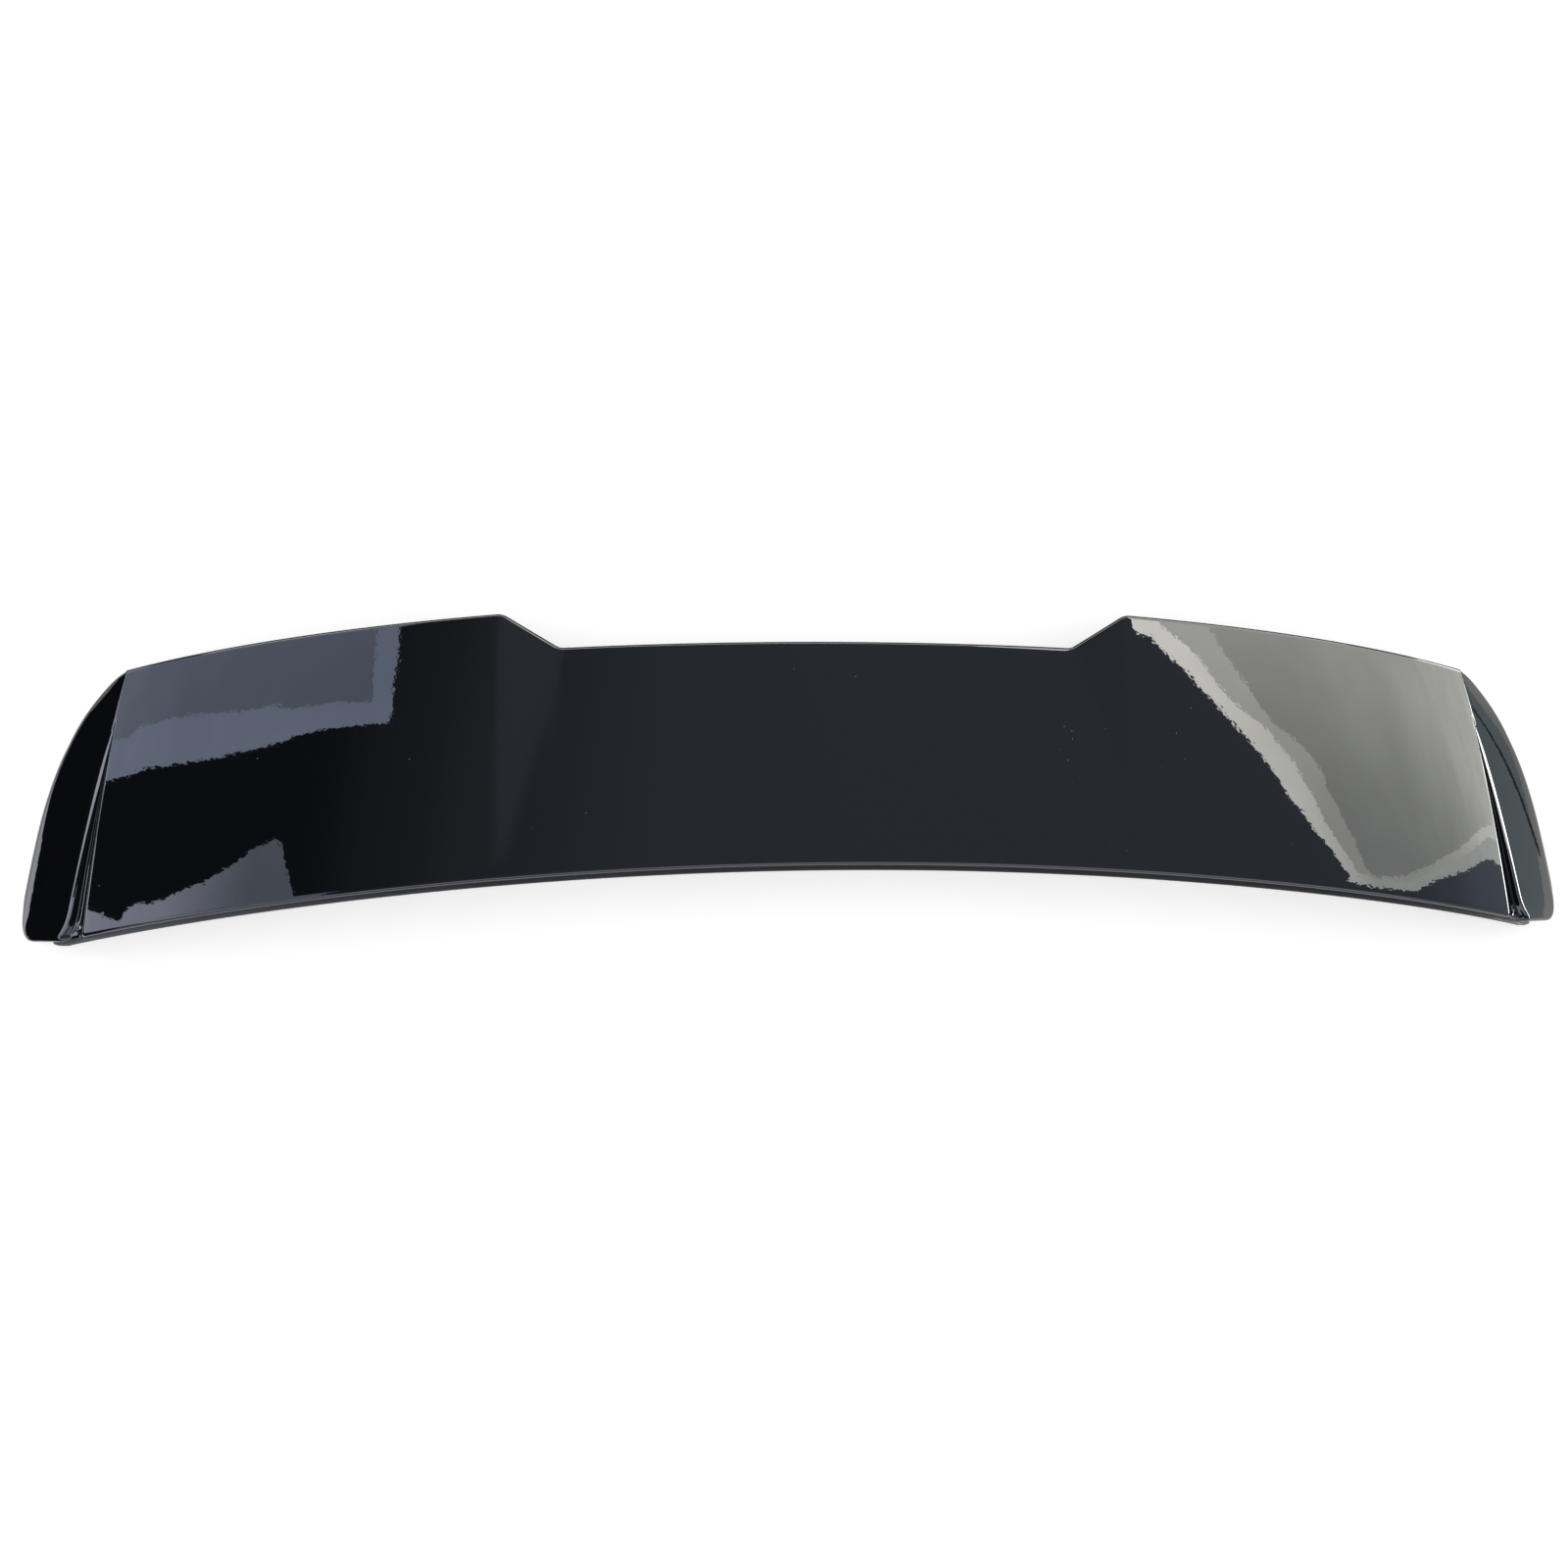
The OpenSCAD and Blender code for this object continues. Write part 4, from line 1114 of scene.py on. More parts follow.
class Graph:
    """A Geometry Nodes group with one geometry in and out, and named inputs."""

    def __init__(self, name):
        self.tree = bpy.data.node_groups.new(name, "GeometryNodeTree")
        self.tree.interface.new_socket("Geometry", in_out="INPUT", socket_type="NodeSocketGeometry")
        self.tree.interface.new_socket("Geometry", in_out="OUTPUT", socket_type="NodeSocketGeometry")
        self.sockets = {}
        self.start = None

    def declare(self, name, kind):
        """Adds a named input and remembers its identifier."""
        socket = self.tree.interface.new_socket(name, in_out="INPUT", socket_type=kind)
        self.sockets[name] = socket.identifier

    def given(self, name):
        """The output of the group's input node that carries a named input."""
        if self.start is None:
            self.start = self.tree.nodes.new("NodeGroupInput")
        return self.start.outputs[name]

    def node(self, kind, links=None, **values):
        """A node with settings, and with inputs by name or number that are linked or set."""
        node = self.tree.nodes.new(kind)
        for name, value in values.items():
            setattr(node, name, value)
        for key, value in (links or {}).items():
            if hasattr(value, "is_output"):
                self.tree.links.new(value, node.inputs[key])
            else:
                node.inputs[key].default_value = value
        return node

    def math(self, operation, *terms):
        """The result of a Math node."""
        return self.node("ShaderNodeMath", dict(enumerate(terms)), operation=operation).outputs[0]

    def join(self, *pieces):
        """Joins several geometries."""
        both = self.node("GeometryNodeJoinGeometry")
        for piece in pieces:
            self.tree.links.new(piece, both.inputs["Geometry"])
        return both.outputs["Geometry"]

    def moved(self, geometry, place):
        """A geometry moved by a vector."""
        return self.node("GeometryNodeTransform",
                         {"Geometry": geometry, "Translation": place}).outputs["Geometry"]

    def finish(self, geometry):
        """Realize Instances, Set Material and the group's output."""
        real = self.node("GeometryNodeRealizeInstances", {"Geometry": geometry})
        coat = self.node("GeometryNodeSetMaterial",
                         {"Geometry": real.outputs["Geometry"], "Material": self.given("Material")})
        self.node("NodeGroupOutput", {"Geometry": coat.outputs["Geometry"]})

    def apply(self, piece, values):
        """Runs the group on a piece once and keeps the result as its mesh."""
        modifier = piece.modifiers.new("Nodes", "NODES")
        modifier.node_group = self.tree
        for name, value in values.items():
            modifier[self.sockets[name]] = value
        graph = bpy.context.evaluated_depsgraph_get()
        mesh = bpy.data.meshes.new_from_object(piece.evaluated_get(graph))
        piece.modifiers.remove(modifier)
        piece.data = mesh


def rib_graph():
    """Stands a tapered rib on every guide point and lets its foot follow the pan's underside."""
    g = Graph("Pan ribs")
    g.declare("Guide", "NodeSocketObject")
    g.declare("Width", "NodeSocketFloat")
    g.declare("Height", "NodeSocketFloat")
    g.declare("Material", "NodeSocketMaterial")
    block = g.node("GeometryNodeMeshCube", {"Size": (1.0, 1.0, 1.0), "Vertices X": 2, "Vertices Y": 33,
                                            "Vertices Z": 3})
    here = g.node("GeometryNodeInputPosition")
    keep = g.node("GeometryNodeCaptureAttribute", {"Geometry": block.outputs["Mesh"]})
    keep.capture_items.new("VECTOR", "Local")
    g.tree.links.new(here.outputs["Position"], keep.inputs["Local"])
    guide = g.node("GeometryNodeObjectInfo", {"Object": g.given("Guide")})
    span = g.node("GeometryNodeInputNamedAttribute", {"Name": "span"}, data_type="FLOAT")
    size = g.node("ShaderNodeCombineXYZ", {"X": g.given("Width"), "Y": span.outputs["Attribute"], "Z": 1.0})
    many = g.node("GeometryNodeInstanceOnPoints",
                  {"Points": guide.outputs["Geometry"], "Instance": keep.outputs["Geometry"],
                   "Scale": size.outputs["Vector"]})
    real = g.node("GeometryNodeRealizeInstances", {"Geometry": many.outputs["Instances"]})
    local = g.node("ShaderNodeSeparateXYZ", {"Vector": keep.outputs["Local"]})
    place = g.node("ShaderNodeSeparateXYZ", {"Vector": here.outputs["Position"]})
    rest = g.math("SUBTRACT", 0.5, g.math("ABSOLUTE", local.outputs["Y"]))
    end = g.node("ShaderNodeMapRange", {"Value": rest, "From Min": 0.0, "From Max": RIB_RISE,
                                        "To Min": 0.0, "To Max": 1.0})
    reach = g.math("ADD", g.given("Height"), RIB_SINK)
    tip = g.math("SUBTRACT", RIB_SINK, g.math("MULTIPLY", end.outputs["Result"], reach))
    depth = g.math("SUBTRACT", 0.5, local.outputs["Z"])
    level = g.math("ADD", RIB_ROOT, g.math("MULTIPLY", depth, g.math("SUBTRACT", tip, RIB_ROOT)))
    draft = g.math("SUBTRACT", 1.0, g.math("MULTIPLY", depth, 1.0 - RIB_DRAFT))
    centre = g.math("SUBTRACT", place.outputs["X"], g.math("MULTIPLY", local.outputs["X"], g.given("Width")))
    side = g.math("MULTIPLY", g.math("MULTIPLY", local.outputs["X"], g.given("Width")), draft)
    below = g.node("ShaderNodeCombineXYZ", {"X": place.outputs["X"], "Y": place.outputs["Y"], "Z": -0.1})
    cast = g.node("GeometryNodeRaycast",
                  {"Target Geometry": g.given("Geometry"), "Source Position": below.outputs["Vector"],
                   "Ray Direction": (0.0, 0.0, 1.0), "Ray Length": 0.4})
    hit = g.node("ShaderNodeSeparateXYZ", {"Vector": cast.outputs["Hit Position"]})
    new = g.node("ShaderNodeCombineXYZ", {"X": g.math("ADD", centre, side), "Y": place.outputs["Y"],
                                          "Z": g.math("ADD", hit.outputs["Z"], level)})
    moved = g.node("GeometryNodeSetPosition",
                   {"Geometry": real.outputs["Geometry"], "Position": new.outputs["Vector"]})
    g.finish(g.join(moved.outputs["Geometry"], g.given("Geometry")))
    return g


# Grip teeth: radius of a four-sided tooth, how far its tip stays inside the insert's radius, and the middle
# and length of each band of teeth as shares of the insert's length
TOOTH_R = 0.00042
TOOTH_INSET = 0.00003
GRIP_BANDS = ((0.20, 0.34), (0.775, 0.37))

# Thread: radius of its four-sided section, pitch, and its length as a share of the insert's
THREAD_R = 0.00035
THREAD_PITCH = 0.001
THREAD_SHARE = 0.86


def insert_graph():
    """Sets grip teeth round an insert's two bands and winds a thread down its bore."""
    g = Graph("Insert grip and thread")
    for name in ("Radius", "Bore", "Length"):
        g.declare(name, "NodeSocketFloat")
    g.declare("Teeth", "NodeSocketInt")
    g.declare("Centre", "NodeSocketVector")
    g.declare("Material", "NodeSocketMaterial")

    def part_of_length(part):
        """A share of the insert's length."""
        return g.math("MULTIPLY", g.given("Length"), part)

    def lifted(geometry, part):
        """A geometry raised by a share of the insert's length."""
        lift = g.node("ShaderNodeCombineXYZ", {"Z": part_of_length(part)})
        return g.moved(geometry, lift.outputs["Vector"])

    here = g.node("GeometryNodeInputPosition")
    turn = g.node("FunctionNodeAlignRotationToVector", {"Vector": here.outputs["Position"]}, axis="X")
    ring_r = g.math("SUBTRACT", g.given("Radius"), TOOTH_R + TOOTH_INSET)
    details = []
    for middle, high in GRIP_BANDS:
        ring = g.node("GeometryNodeMeshCircle", {"Vertices": g.given("Teeth"), "Radius": ring_r})
        tooth = g.node("GeometryNodeMeshCylinder",
                       {"Vertices": 4, "Radius": TOOTH_R, "Depth": part_of_length(high)})
        teeth = g.node("GeometryNodeInstanceOnPoints",
                       {"Points": ring.outputs["Mesh"], "Instance": tooth.outputs["Mesh"],
                        "Rotation": turn.outputs["Rotation"]})
        details.append(lifted(teeth.outputs["Instances"], middle))
    coil_len = part_of_length(THREAD_SHARE)
    coil = g.node("GeometryNodeCurveSpiral",
                  {"Resolution": 28, "Rotations": g.math("DIVIDE", coil_len, THREAD_PITCH),
                   "Start Radius": g.given("Bore"), "End Radius": g.given("Bore"), "Height": coil_len})
    crest = g.node("GeometryNodeCurvePrimitiveCircle", {"Resolution": 4, "Radius": THREAD_R})
    wound = g.node("GeometryNodeCurveToMesh", {"Curve": coil.outputs["Curve"],
                                               "Profile Curve": crest.outputs["Curve"], "Fill Caps": True})
    details.append(lifted(wound.outputs["Mesh"], (1 - THREAD_SHARE) / 2))
    g.finish(g.join(g.moved(g.join(*details), g.given("Centre")), g.given("Geometry")))
    return g


def finish_piece(piece, nodes):
    """Ties a finished piece to the body and hides the nodes that it stands for."""
    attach(piece, BODY)
    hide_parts(*nodes)


class SPOILER_OT_outer_skin(Operator):
    """Makes the gloss outer skin with its notch, channels, cheeks and rolled edges."""

    bl_idname = "spoiler.outer_skin"
    bl_label = "Outer skin"

    def execute(self, context):
        surface = Surface()
        points, faces = skin_mesh(surface)
        piece = new_piece("outer_skin", keep_in_box(points, "upper_skin"), faces, gloss_black())
        cut_holes(piece, drain_places(surface), surface.p.drain_r)
        finish_piece(piece, ["upper_skin"])
        return {"FINISHED"}


class SPOILER_OT_lower_skin(Operator):
    """Makes the lower skin with its ledge, pan, bosses, pins and ribs."""

    bl_idname = "spoiler.lower_skin"
    bl_label = "Lower skin"

    def execute(self, context):
        f = settings("fixings")
        surface = Surface()
        under = Underside(surface, both_halves(half_columns(LOWER_STEPS)))
        points, faces = loft_mesh(rounded_ring(under.sections(), Underside.CORNERS, 5))
        material = satin_black()
        piece = new_piece("lower_skin_moulding", keep_in_box(points, "lower_skin"), faces, material)
        cut_holes(piece, drain_places(surface), surface.p.drain_r + f.drain_room)
        seats = [screw_place(name) for name in FIXINGS]
        bores = [(x, y, z + f.insert_len - DRILL_LEN / 2) for x, y, z in seats]
        cut_holes(piece, bores, f.insert_r)
        add_parts(piece, lower_skin_parts(under), "lower_skin", material)
        guide = rib_guide(surface)
        rib_graph().apply(piece, {"Guide": guide, "Width": f.rib_w, "Height": f.rib_h, "Material": material})
        bpy.data.objects.remove(guide)
        finish_piece(piece, ["lower_skin"])
        return {"FINISHED"}


class SPOILER_OT_inserts(Operator):
    """Makes the four threaded inserts with their grip teeth and threads."""

    bl_idname = "spoiler.inserts"
    bl_label = "Threaded inserts"

    # Chamfer of the bore and the inner end, depth of the core under the teeth, height of the flange at the
    # mouth, and the chamfers of its lower and upper edge
    CHAMFER = 0.0005
    CORE_CUT = 0.0006
    FLANGE = 0.0008
    FLANGE_EDGE = 0.0003
    FLANGE_BREAK = 0.0001
    # Part of the thread's radius that stands out of the bore's wall
    BORE_PART = 0.6

    def profile(self, f):
        """Section of an insert, as (radius, height) from its mouth round its outside."""
        high, core = f.insert_len, f.insert_r - self.CORE_CUT
        bore = f.thread_r + THREAD_R * self.BORE_PART
        return [(bore + self.CHAMFER, 0.0), (f.insert_r - self.FLANGE_EDGE, 0.0),
                (f.insert_r, self.FLANGE_EDGE), (f.insert_r, self.FLANGE - self.FLANGE_BREAK),
                (f.insert_r - self.FLANGE_BREAK, self.FLANGE), (core, self.FLANGE),
                (core, high - self.CHAMFER), (core - self.CHAMFER, high), (bore + self.CHAMFER, high),
                (bore, high - self.CHAMFER), (bore, self.CHAMFER)]

    def execute(self, context):
        f = settings("fixings")
        material = turned_brass()
        graph = insert_graph()
        for place in FIXINGS:
            centre = screw_place(place)
            node = "insert_" + place
            points, faces = lathe_mesh(self.profile(f), centre, 64)
            piece = new_piece(node + "_brass", points, faces, material)
            graph.apply(piece, {"Radius": f.insert_r, "Bore": f.thread_r + THREAD_R, "Length": f.insert_len,
                                "Teeth": f.knurl_teeth, "Centre": tuple(centre), "Material": material})
            finish_piece(piece, [node])
        return {"FINISHED"}


class SPOILER_OT_washers(Operator):
    """Makes the four foam washers round the inserts."""

    bl_idname = "spoiler.washers"
    bl_label = "Foam washers"

    # Radius of a washer's edges
    EDGE = 0.0005

    def profile(self, f):
        """Section of a washer, as (radius, height): four quarter rounds from its lower outer edge."""
        inner, outer = f.insert_r + f.washer_room + self.EDGE, f.washer_r - self.EDGE
        low, high = self.EDGE - f.washer_t, -self.EDGE
        result = []
        for k, (radius, height) in enumerate(((outer, low), (outer, high), (inner, high), (inner, low))):
            for step in range(5):
                turn = math.pi / 2 * (k - 1 + step / 4)
                result.append((radius + self.EDGE * math.cos(turn), height + self.EDGE * math.sin(turn)))
        return result

    def execute(self, context):
        f = settings("fixings")
        material = foam_black("Sealing foam", 900.0)
        for place in FIXINGS:
            points, faces = lathe_mesh(self.profile(f), screw_place(place), 96)
            piece = new_piece("washer_" + place + "_foam", points, faces, material)
            finish_piece(piece, ["washer_" + place])
        return {"FINISHED"}


class SPOILER_OT_tapes(Operator):
    """Makes the three lengths of adhesive tape under the ledge."""

    bl_idname = "spoiler.tapes"
    bl_label = "Adhesive tapes"

    # Radius of a tape's edges
    EDGE = 0.0002

    def execute(self, context):
        f = settings("fixings")
        surface = Surface()
        material = tape_liner()
        along = np.linspace(0, 1, 61)
        front = surface.p.ledge + Underside.LEDGE_END
        for place in ("left", "centre", "right"):
            low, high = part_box("tape_" + place)
            across = low.x + (high.x - low.x) * along
            columns = [column_at(surface, x) for x in across]
            under = Underside(surface, columns)
            sections = under.sections()
            nose, shelf = sections[:, 0], sections[:, 1]
            start = nose + (shelf - nose) * (f.tape_start / front)
            end = nose + (shelf - nose) * ((f.tape_start + f.tape_w) / front)
            gap = np.array([0.0, 0.0, f.film])
            deep = np.array([0.0, 0.0, f.tape_t])
            rings = np.stack([start - gap - deep, end - gap - deep, end - gap, start - gap], axis=1)
            points, faces = loft_mesh(rounded_ring(rings, (self.EDGE,) * 4, 2))
            node = "tape_" + place
            piece = new_piece(node + "_strip", keep_in_box(points, node), faces, material)
            finish_piece(piece, [node])
        return {"FINISHED"}


class SPOILER_OT_pads(Operator):
    """Makes the foam pads under the cheeks."""

    bl_idname = "spoiler.pads"
    bl_label = "Cheek pads"

    # Where a pad starts and ends across the cheek, and along the chord as parts of a half turn, whose cosine
    # gives the share; and the radius of its edges
    ACROSS = (0.25, 0.75)
    ALONG = (4 / 16, 11 / 16)
    EDGE = 0.0008

    def execute(self, context):
        f = settings("fixings")
        surface = Surface()
        material = foam_black("Cheek foam", 620.0)
        v = np.linspace(*(0.5 - 0.5 * math.cos(math.pi * part) for part in self.ALONG), 40)
        for place, side in (("left", -1), ("right", 1)):
            columns = [(side, CHEEK, t) for t in np.linspace(*self.ACROSS, 9)]
            base, _, _ = grid_parts(surface, columns, v)
            normal = grid_normals(base) * side
            top = base - normal * surface.p.skin_wall - np.array([0.0, 0.0, f.film])
            low = top - np.array([0.0, 0.0, f.pad_t])
            rings = np.concatenate([top, low[:, ::-1]], axis=1)
            radii = [0.0] * rings.shape[1]
            for corner in (0, len(columns) - 1, len(columns), 2 * len(columns) - 1):
                radii[corner] = self.EDGE
            points, faces = loft_mesh(rounded_ring(rings, radii, 3))
            node = "cheek_foam_" + place
            piece = new_piece(node + "_pad", keep_in_box(points, node), faces, material)
            finish_piece(piece, [node])
        return {"FINISHED"}


# Light

# Cards over the spoiler, which the gloss shows as patches of light. Each has its name, its height over the
# floor, its first and last light, the axis and the two places between which the light changes, and its
# outline. An outline follows the edge of a patch in the photo, mirrored in the blade up to the card's
# height, and closes where the camera doesn't see it in the gloss
CEILING_CARDS = (
    ("card_left_rim", 2.0, (2.4, 2.8, 3.8), (2.2, 2.6, 3.6), ("Y", 1.1, 2.3),
     ((-0.97, 1.90), (-0.91, 1.48), (-0.90, 1.38), (-0.90, 1.29), (-0.88, 1.15), (-0.88, 1.10),
      (-0.95, 1.10), (-1.14, 1.11), (-1.31, 1.11), (-1.44, 1.09), (-1.59, 1.09), (-1.75, 1.10),
      (-2.03, 1.12), (-2.52, 1.20), (-2.99, 1.29), (-3.43, 1.38), (-3.92, 1.46), (-4.73, 1.63),
      (-12.0, 3.2), (-12.0, 7.0), (-3.0, 7.0), (-1.2, 3.2))),
    ("card_left_window", 1.99, (1.5, 1.7, 2.3), (1.9, 2.1, 2.75), ("Y", 1.2, 2.4),
     ((-1.05, 1.78), (-1.01, 1.50), (-1.00, 1.41), (-0.97, 1.21), (-1.43, 1.25), (-1.56, 1.29),
      (-1.78, 1.31), (-2.16, 1.38), (-2.56, 1.47), (-3.24, 1.62), (-3.88, 1.77), (-4.42, 1.85),
      (-12.0, 3.9), (-12.0, 7.0), (-3.1, 7.0), (-1.3, 3.2))),
    ("card_near_left", 2.0, (3.3, 3.5, 4.4), (1.4, 1.6, 2.0), ("X", -2.5, -1.5),
     ((-3.50, 0.52), (-3.38, 0.56), (-3.12, 0.57), (-2.73, 0.53), (-2.43, 0.52), (-2.19, 0.53),
      (-1.94, 0.53), (-1.77, 0.56), (-1.64, 0.58), (-1.53, 0.62), (-1.37, 0.65), (-1.31, 0.62),
      (-1.29, 0.56), (-1.24, 0.47), (-1.19, 0.38), (-0.95, 0.33), (-0.9, -3.0), (-12.0, -3.0),
      (-12.0, 1.9))),
    ("card_right_rim", 2.0, (12.5, 12.3, 11.6), (5.0, 5.2, 4.9), ("X", 1.15, 2.0),
     ((0.87, 1.56), (0.98, 1.53), (1.04, 1.52), (1.05, 1.47), (1.09, 1.39), (1.12, 1.34), (1.16, 1.25),
      (1.20, 1.18), (1.25, 1.09), (1.31, 1.00), (1.36, 0.92), (1.41, 0.84), (1.44, 0.76), (1.50, 0.71),
      (1.56, 0.63), (1.63, 0.57), (1.70, 0.50), (1.75, 0.46), (1.72, 0.44), (1.82, 0.43), (1.97, 0.43),
      (2.24, 0.44), (2.57, 0.47), (2.79, 0.52), (3.14, 0.59), (3.75, 0.69), (4.44, 0.81), (5.26, 0.98),
      (6.63, 1.19), (14.0, 2.0), (14.0, 9.0), (2.0, 9.0), (0.95, 4.0), (0.87, 2.2))),
    ("card_right_glow", 1.99, (4.7, 4.8, 4.6), (7.2, 7.2, 6.9), ("Y", 0.6, 1.3),
     ((1.02, 2.2), (1.07, 1.66), (1.10, 1.56), (1.16, 1.47), (1.20, 1.39), (1.23, 1.28), (1.27, 1.20),
      (1.33, 1.14), (1.40, 1.09), (1.47, 0.99), (1.53, 0.92), (1.55, 0.86), (1.59, 0.79), (1.63, 0.69),
      (1.69, 0.61), (1.75, 0.56), (1.83, 0.47), (2.35, 0.48), (2.94, 0.60), (3.93, 0.80), (5.38, 1.12),
      (6.77, 1.42), (14.0, 2.5), (14.0, 9.0), (2.1, 9.0), (1.1, 4.0))),
    ("card_right_window", 1.98, (3.1, 3.2, 3.1), (6.0, 6.1, 5.7), ("Y", 0.6, 1.8),
     ((1.25, 2.2), (1.28, 1.60), (1.30, 1.50), (1.32, 1.41), (1.36, 1.31), (1.40, 1.20), (1.44, 1.12),
      (1.54, 1.06), (1.65, 0.98), (1.70, 0.90), (1.70, 0.83), (1.75, 0.77), (1.79, 0.68), (1.84, 0.63),
      (1.86, 0.56), (1.90, 0.50), (1.98, 0.47), (2.35, 0.51), (2.94, 0.64), (3.93, 0.86), (5.38, 1.21),
      (6.77, 1.52), (14.0, 3.0), (14.0, 9.0), (2.2, 9.0), (1.35, 4.0))),
)

# Light of a dark card
DARK = (0.01, 0.01, 0.015)

# Places along Y between which an upright card's light changes
STANDING_CHANGE = ("Y", -0.1, 0.1)

# Upright cards round the spoiler, which light its rolled edges or keep them dark: name, light at the near
# and at the far side, and corners
STANDING_CARDS = (
    ("strip_left", (4.5, 4.8, 5.6), (4.5, 4.8, 5.6),
     ((-3.0, -0.6, 0.45), (-3.0, 2.4, 0.45), (-3.0, 2.4, 0.95), (-3.0, -0.6, 0.95))),
    ("strip_right", (30.0, 30.0, 29.0), (30.0, 30.0, 29.0),
     ((3.0, -0.8, 0.10), (3.0, 2.4, 0.10), (3.0, 2.4, 0.50), (3.0, -0.8, 0.50))),
    ("strip_front", (2.4, 2.6, 3.1), (2.4, 2.6, 3.1),
     ((-2.6, -3.0, 0.7), (2.6, -3.0, 0.7), (2.6, -3.0, 2.4), (-2.6, -3.0, 2.4))),
    ("flag_rear", DARK, DARK,
     ((-0.62, 0.2, 0.0), (0.62, 0.2, 0.0), (0.62, 0.2, 0.032), (0.3, 0.2, 0.066), (-0.3, 0.2, 0.066),
      (-0.62, 0.2, 0.032))),
    ("strip_rear", (9.0, 9.1, 9.4), (9.0, 9.1, 9.4),
     ((-2.6, 3.0, 0.35), (2.6, 3.0, 0.35), (2.6, 3.0, 0.9), (-2.6, 3.0, 0.9))),
    ("flag_left", DARK, DARK,
     ((-0.66, -0.4, 0.010), (-0.66, 0.4, 0.010), (-0.66, 0.4, 0.048), (-0.66, -0.4, 0.048))),
    ("glow_left", (3.0, 3.1, 3.4), (3.0, 3.1, 3.4),
     ((-0.655, -0.13, 0.0), (-0.655, 0.04, 0.0), (-0.655, 0.01, 0.010), (-0.655, -0.03, 0.016),
      (-0.655, -0.09, 0.016), (-0.655, -0.13, 0.008))),
    ("flag_corner", DARK, DARK,
     ((-0.655, -0.13, 0.0), (-0.56, -0.20, 0.0), (-0.56, -0.20, 0.04), (-0.655, -0.13, 0.04))),
    ("flag_right", (0.15, 0.17, 0.18), (0.15, 0.17, 0.18),
     ((0.70, -0.05, -0.001), (0.70, 0.2, 0.0286), (0.70, 0.2, 0.0314), (0.70, -0.05, 0.0014))),
    ("glow_right", (0.68, 0.80, 0.84), (0.70, 0.86, 0.92),
     ((0.72, -0.4, 0.0), (0.72, 0.4, 0.0), (0.72, 0.4, 0.045), (0.72, -0.4, 0.045))),
)


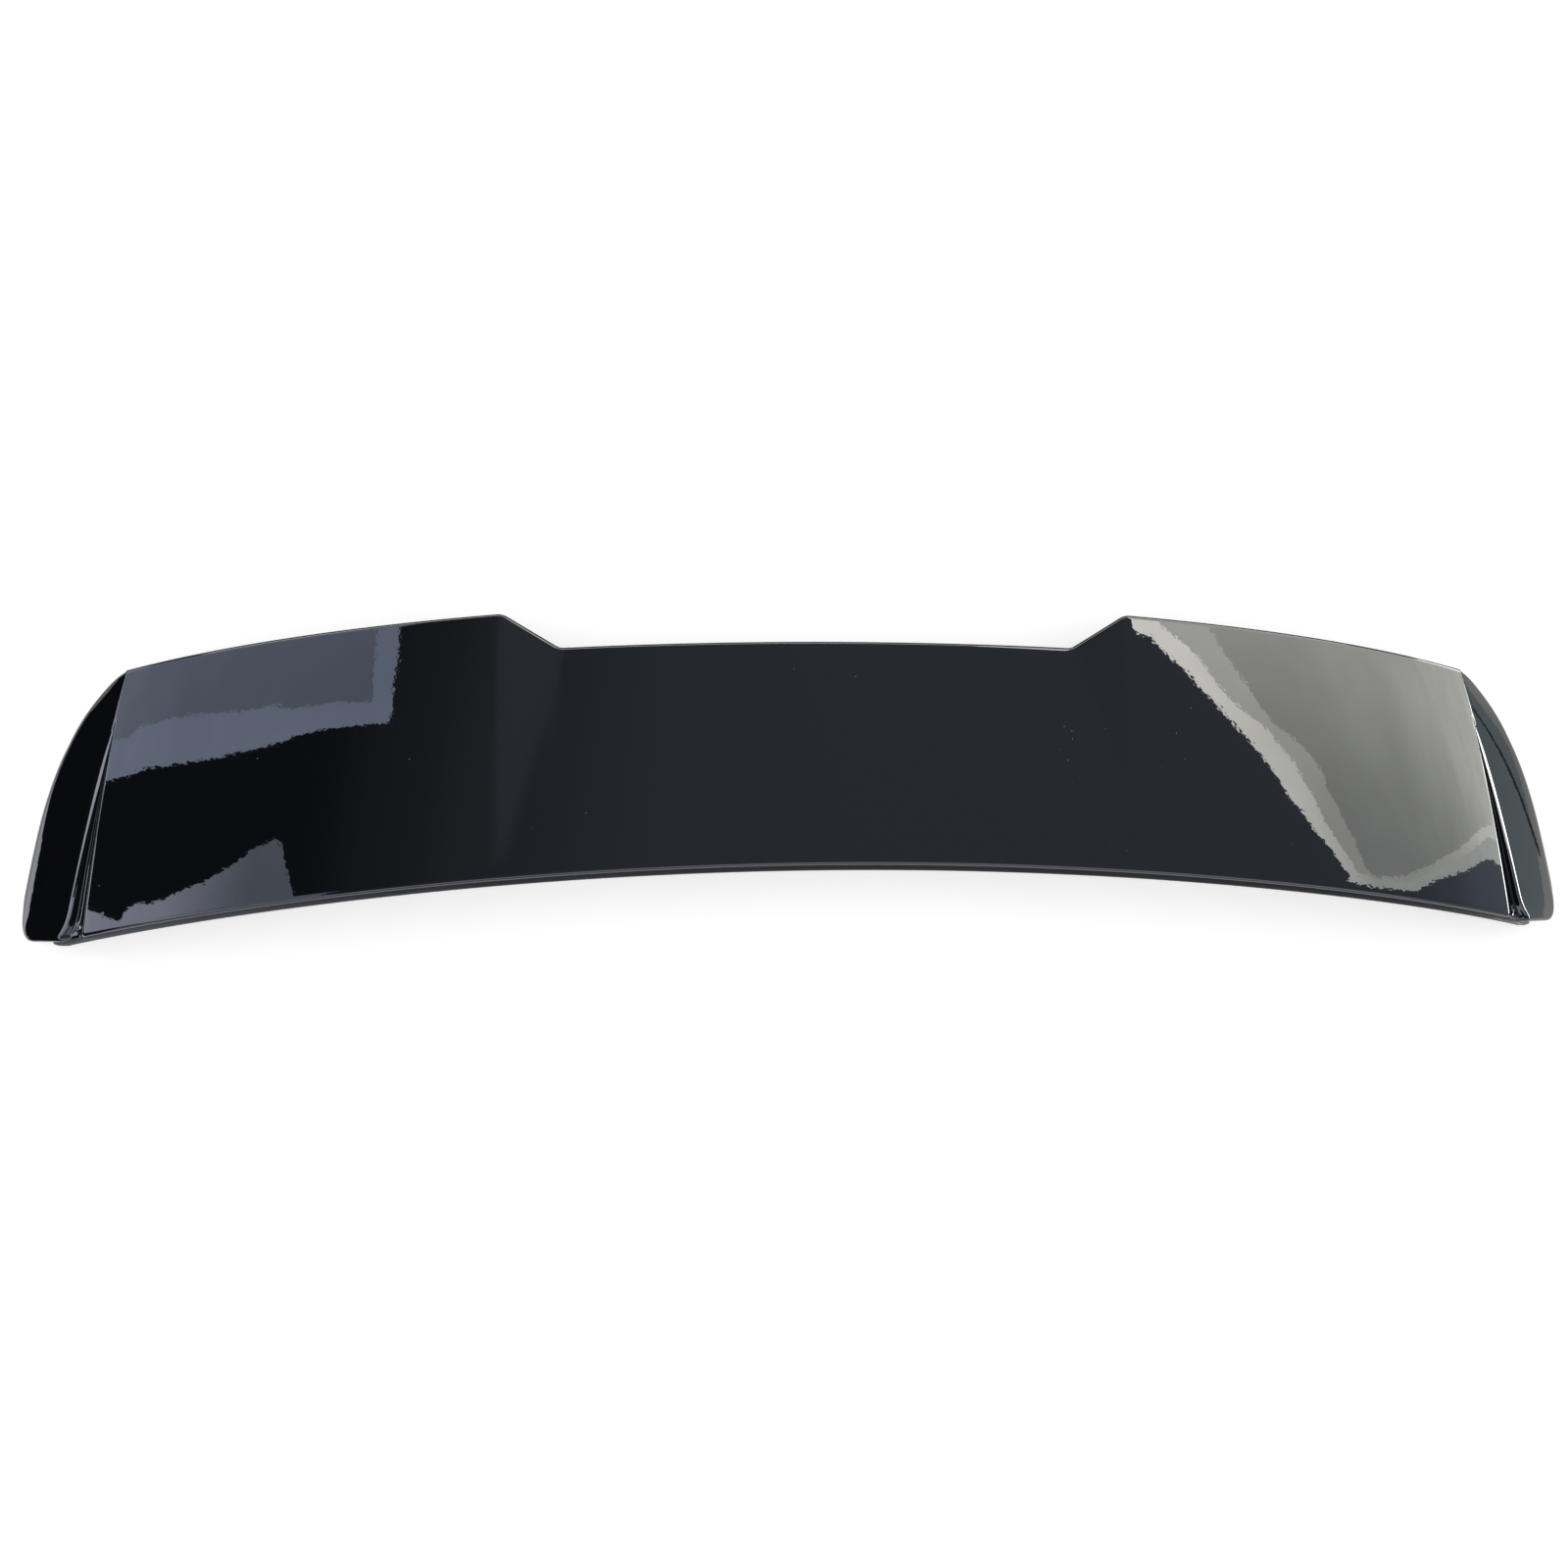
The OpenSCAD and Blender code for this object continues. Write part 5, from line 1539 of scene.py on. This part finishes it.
class SPOILER_OT_stage(Operator):
    """Makes the floor, the world, the light cards and the camera."""

    bl_idname = "spoiler.stage"
    bl_label = "Stage"

    # The camera's place came from the photo's outline: how far its axis leans, its turn about that axis, its
    # focal length in pixels, the pixel where its axis meets the 1600-pixel picture, and the point that it
    # looks at, from the blade's front corners
    PICTURE = 1600.0
    TILT_X = -0.0844
    TILT_Y = -0.0904
    TURN = -0.0136
    FOCAL_PX = 1665.1
    AXIS_PX = (840.6, 791.8)
    AIM = (0.0, 0.110, -0.015)

    # The room's light that the gloss shows, by how far a ray leans to the right for its rise
    ROOM_REACH = 3.0
    ROOM = ((-0.60, 0.05), (-0.42, 0.07), (-0.25, 0.28), (-0.15, 0.52), (0.0, 0.85), (0.12, 0.92),
            (0.9, 0.95), (1.5, 1.35), (2.2, 1.75))

    FLOOR_SIZE = 14.0
    FLOOR_COLOUR = (0.9, 0.9, 0.9)

    def execute(self, context):
        self.make_camera(context)
        self.make_world(context)
        self.make_floor()
        self.make_cards()
        context.scene.view_settings.view_transform = "Standard"
        return {"FINISHED"}

    def make_camera(self, context):
        """The camera at the photo's viewing angle."""
        surface = Surface()
        back = Vector((self.TILT_X, self.TILT_Y, 1.0)).normalized()
        right = Vector((0.0, 1.0, 0.0)).cross(back).normalized()
        up = back.cross(right)
        turned_right = right * math.cos(self.TURN) + up * math.sin(self.TURN)
        turned_up = up * math.cos(self.TURN) - right * math.sin(self.TURN)
        aim = Vector(self.AIM) - Vector((0.0, surface.origin_y, surface.foot_z))
        data = bpy.data.cameras.new("Camera")
        data.sensor_width = 36.0
        data.lens = self.FOCAL_PX * data.sensor_width / self.PICTURE
        data.shift_x = (self.PICTURE / 2 - self.AXIS_PX[0]) / self.PICTURE
        data.shift_y = (self.AXIS_PX[1] - self.PICTURE / 2) / self.PICTURE
        camera = bpy.data.objects.new("Camera", data)
        basis = Matrix((turned_right, turned_up, back)).transposed().to_4x4()
        place = aim + back * settings("stage").distance
        camera.matrix_world = Matrix.Translation(place) @ basis
        context.scene.collection.objects.link(camera)
        context.scene.camera = camera

    def make_world(self, context):
        """White for the eye, plain light for matt surfaces, and a room that fades to the left for gloss."""
        stage = settings("stage")
        world = bpy.data.worlds.new("Room")
        context.scene.world = world
        world.use_nodes = True
        tree = world.node_tree
        back = tree.nodes["Background"]
        place = tree.nodes.new("ShaderNodeTexCoord")
        split = tree.nodes.new("ShaderNodeSeparateXYZ")
        tree.links.new(place.outputs["Generated"], split.inputs["Vector"])
        height = maths(tree, "MAXIMUM", split.outputs["Z"], 0.02)
        lean = maths(tree, "DIVIDE", split.outputs["X"], height)
        room = tree.nodes.new("ShaderNodeValToRGB")
        room.color_ramp.interpolation = "EASE"
        reach = ramp_between(tree, lean, -self.ROOM_REACH, self.ROOM_REACH, 0.0, 1.0)
        tree.links.new(reach, room.inputs["Fac"])
        stops = room.color_ramp.elements
        for k, (lean_at, level) in enumerate(self.ROOM):
            position = 0.5 + lean_at / (2 * self.ROOM_REACH)
            stop = stops[0] if k == 0 else stops.new(position)
            stop.position = position
            stop.color = (*(level * part for part in stage.room), 1.0)
        stops.remove(stops[-1])
        path = tree.nodes.new("ShaderNodeLightPath")
        gloss = mixed(tree, path.outputs["Is Glossy Ray"], (stage.sky,) * 3, room.outputs["Color"])
        seen = mixed(tree, path.outputs["Is Camera Ray"], gloss, (1.0, 1.0, 1.0))
        tree.links.new(seen, back.inputs["Color"])

    def make_floor(self):
        """White floor that keeps the object's shadow."""
        bpy.ops.mesh.primitive_plane_add(size=self.FLOOR_SIZE, location=(0.0, 0.0, 0.0))
        floor = bpy.context.object
        floor.name = "floor"
        material, tree, output = bare_material("White floor")
        matt = tree.nodes.new("ShaderNodeBsdfDiffuse")
        matt.inputs["Color"].default_value = (*self.FLOOR_COLOUR, 1.0)
        glow = tree.nodes.new("ShaderNodeEmission")
        path = tree.nodes.new("ShaderNodeLightPath")
        seen = maths(tree, "MAXIMUM", path.outputs["Is Camera Ray"], path.outputs["Is Glossy Ray"])
        seen = maths(tree, "MAXIMUM", seen, path.outputs["Is Transmission Ray"])
        level = maths(tree, "MULTIPLY", seen, settings("stage").floor_lift)
        tree.links.new(level, glow.inputs["Strength"])
        both = tree.nodes.new("ShaderNodeAddShader")
        tree.links.new(matt.outputs["BSDF"], both.inputs[0])
        tree.links.new(glow.outputs["Emission"], both.inputs[1])
        tree.links.new(both.outputs["Shader"], output.inputs["Surface"])
        floor.data.materials.append(material)

    def make_cards(self):
        """Light cards and dark flags that only the gloss reflects."""
        for name, height, first, last, change, outline in CEILING_CARDS:
            self.card(name, [(x, y, height) for x, y in outline], first, last, change)
        for name, first, last, points in STANDING_CARDS:
            self.card(name, points, first, last, STANDING_CHANGE)

    def card(self, name, points, first, last, change):
        """One card; its light goes from the first to the last along an axis, and is a little uneven."""
        mesh = bpy.data.meshes.new(name)
        mesh.from_pydata(points, [], [tuple(range(len(points)))])
        piece = bpy.data.objects.new(name, mesh)
        bpy.context.scene.collection.objects.link(piece)
        piece.visible_camera = False
        piece.visible_diffuse = False
        piece.visible_shadow = False
        piece.visible_transmission = False
        material, tree, output = bare_material(name)
        glow = tree.nodes.new("ShaderNodeEmission")
        place = tree.nodes.new("ShaderNodeTexCoord")
        split = tree.nodes.new("ShaderNodeSeparateXYZ")
        tree.links.new(place.outputs["Object"], split.inputs["Vector"])
        axis, start, end = change
        along = ramp_between(tree, split.outputs[axis], start, end, 0.0, 1.0)
        tree.links.new(mixed(tree, along, first, last), glow.inputs["Color"])
        cloud = cloud_noise(tree, 1.6, 4.0, 0.6)
        uneven = ramp_between(tree, cloud, 0.3, 0.7, 0.93, 1.07)
        tree.links.new(uneven, glow.inputs["Strength"])
        tree.links.new(glow.outputs["Emission"], output.inputs["Surface"])
        mesh.materials.append(material)


class SPOILER_PT_panel(Panel):
    """Lists the spoiler's operators."""

    bl_idname = "SPOILER_PT_panel"
    bl_label = "Roof spoiler"
    bl_space_type = "VIEW_3D"
    bl_region_type = "UI"
    bl_category = "Spoiler"

    def draw(self, context):
        """One button for each operator."""
        for operator in OPERATORS:
            self.layout.operator(operator.bl_idname)


OPERATORS = (SPOILER_OT_outer_skin, SPOILER_OT_lower_skin, SPOILER_OT_inserts, SPOILER_OT_washers,
             SPOILER_OT_tapes, SPOILER_OT_pads, SPOILER_OT_stage)
GROUPS = {"shape": SpoilerShape, "fixings": SpoilerFixings, "finish": SpoilerFinish, "stage": SpoilerStage}


def register():
    """Registers the groups, the operators and the panel."""
    for name, group in GROUPS.items():
        bpy.utils.register_class(group)
        setattr(bpy.types.Scene, "spoiler_" + name, PointerProperty(type=group))
    for kind in (*OPERATORS, SPOILER_PT_panel):
        bpy.utils.register_class(kind)


def unregister():
    """Takes them out again."""
    for kind in (SPOILER_PT_panel, *reversed(OPERATORS)):
        bpy.utils.unregister_class(kind)
    for name, group in GROUPS.items():
        delattr(bpy.types.Scene, "spoiler_" + name)
        bpy.utils.unregister_class(group)


def main():
    """Builds every piece and the stage."""
    register()
    for operator in OPERATORS:
        group, name = operator.bl_idname.split(".")
        getattr(getattr(bpy.ops, group), name)()


if __name__ == "__main__":
    main()
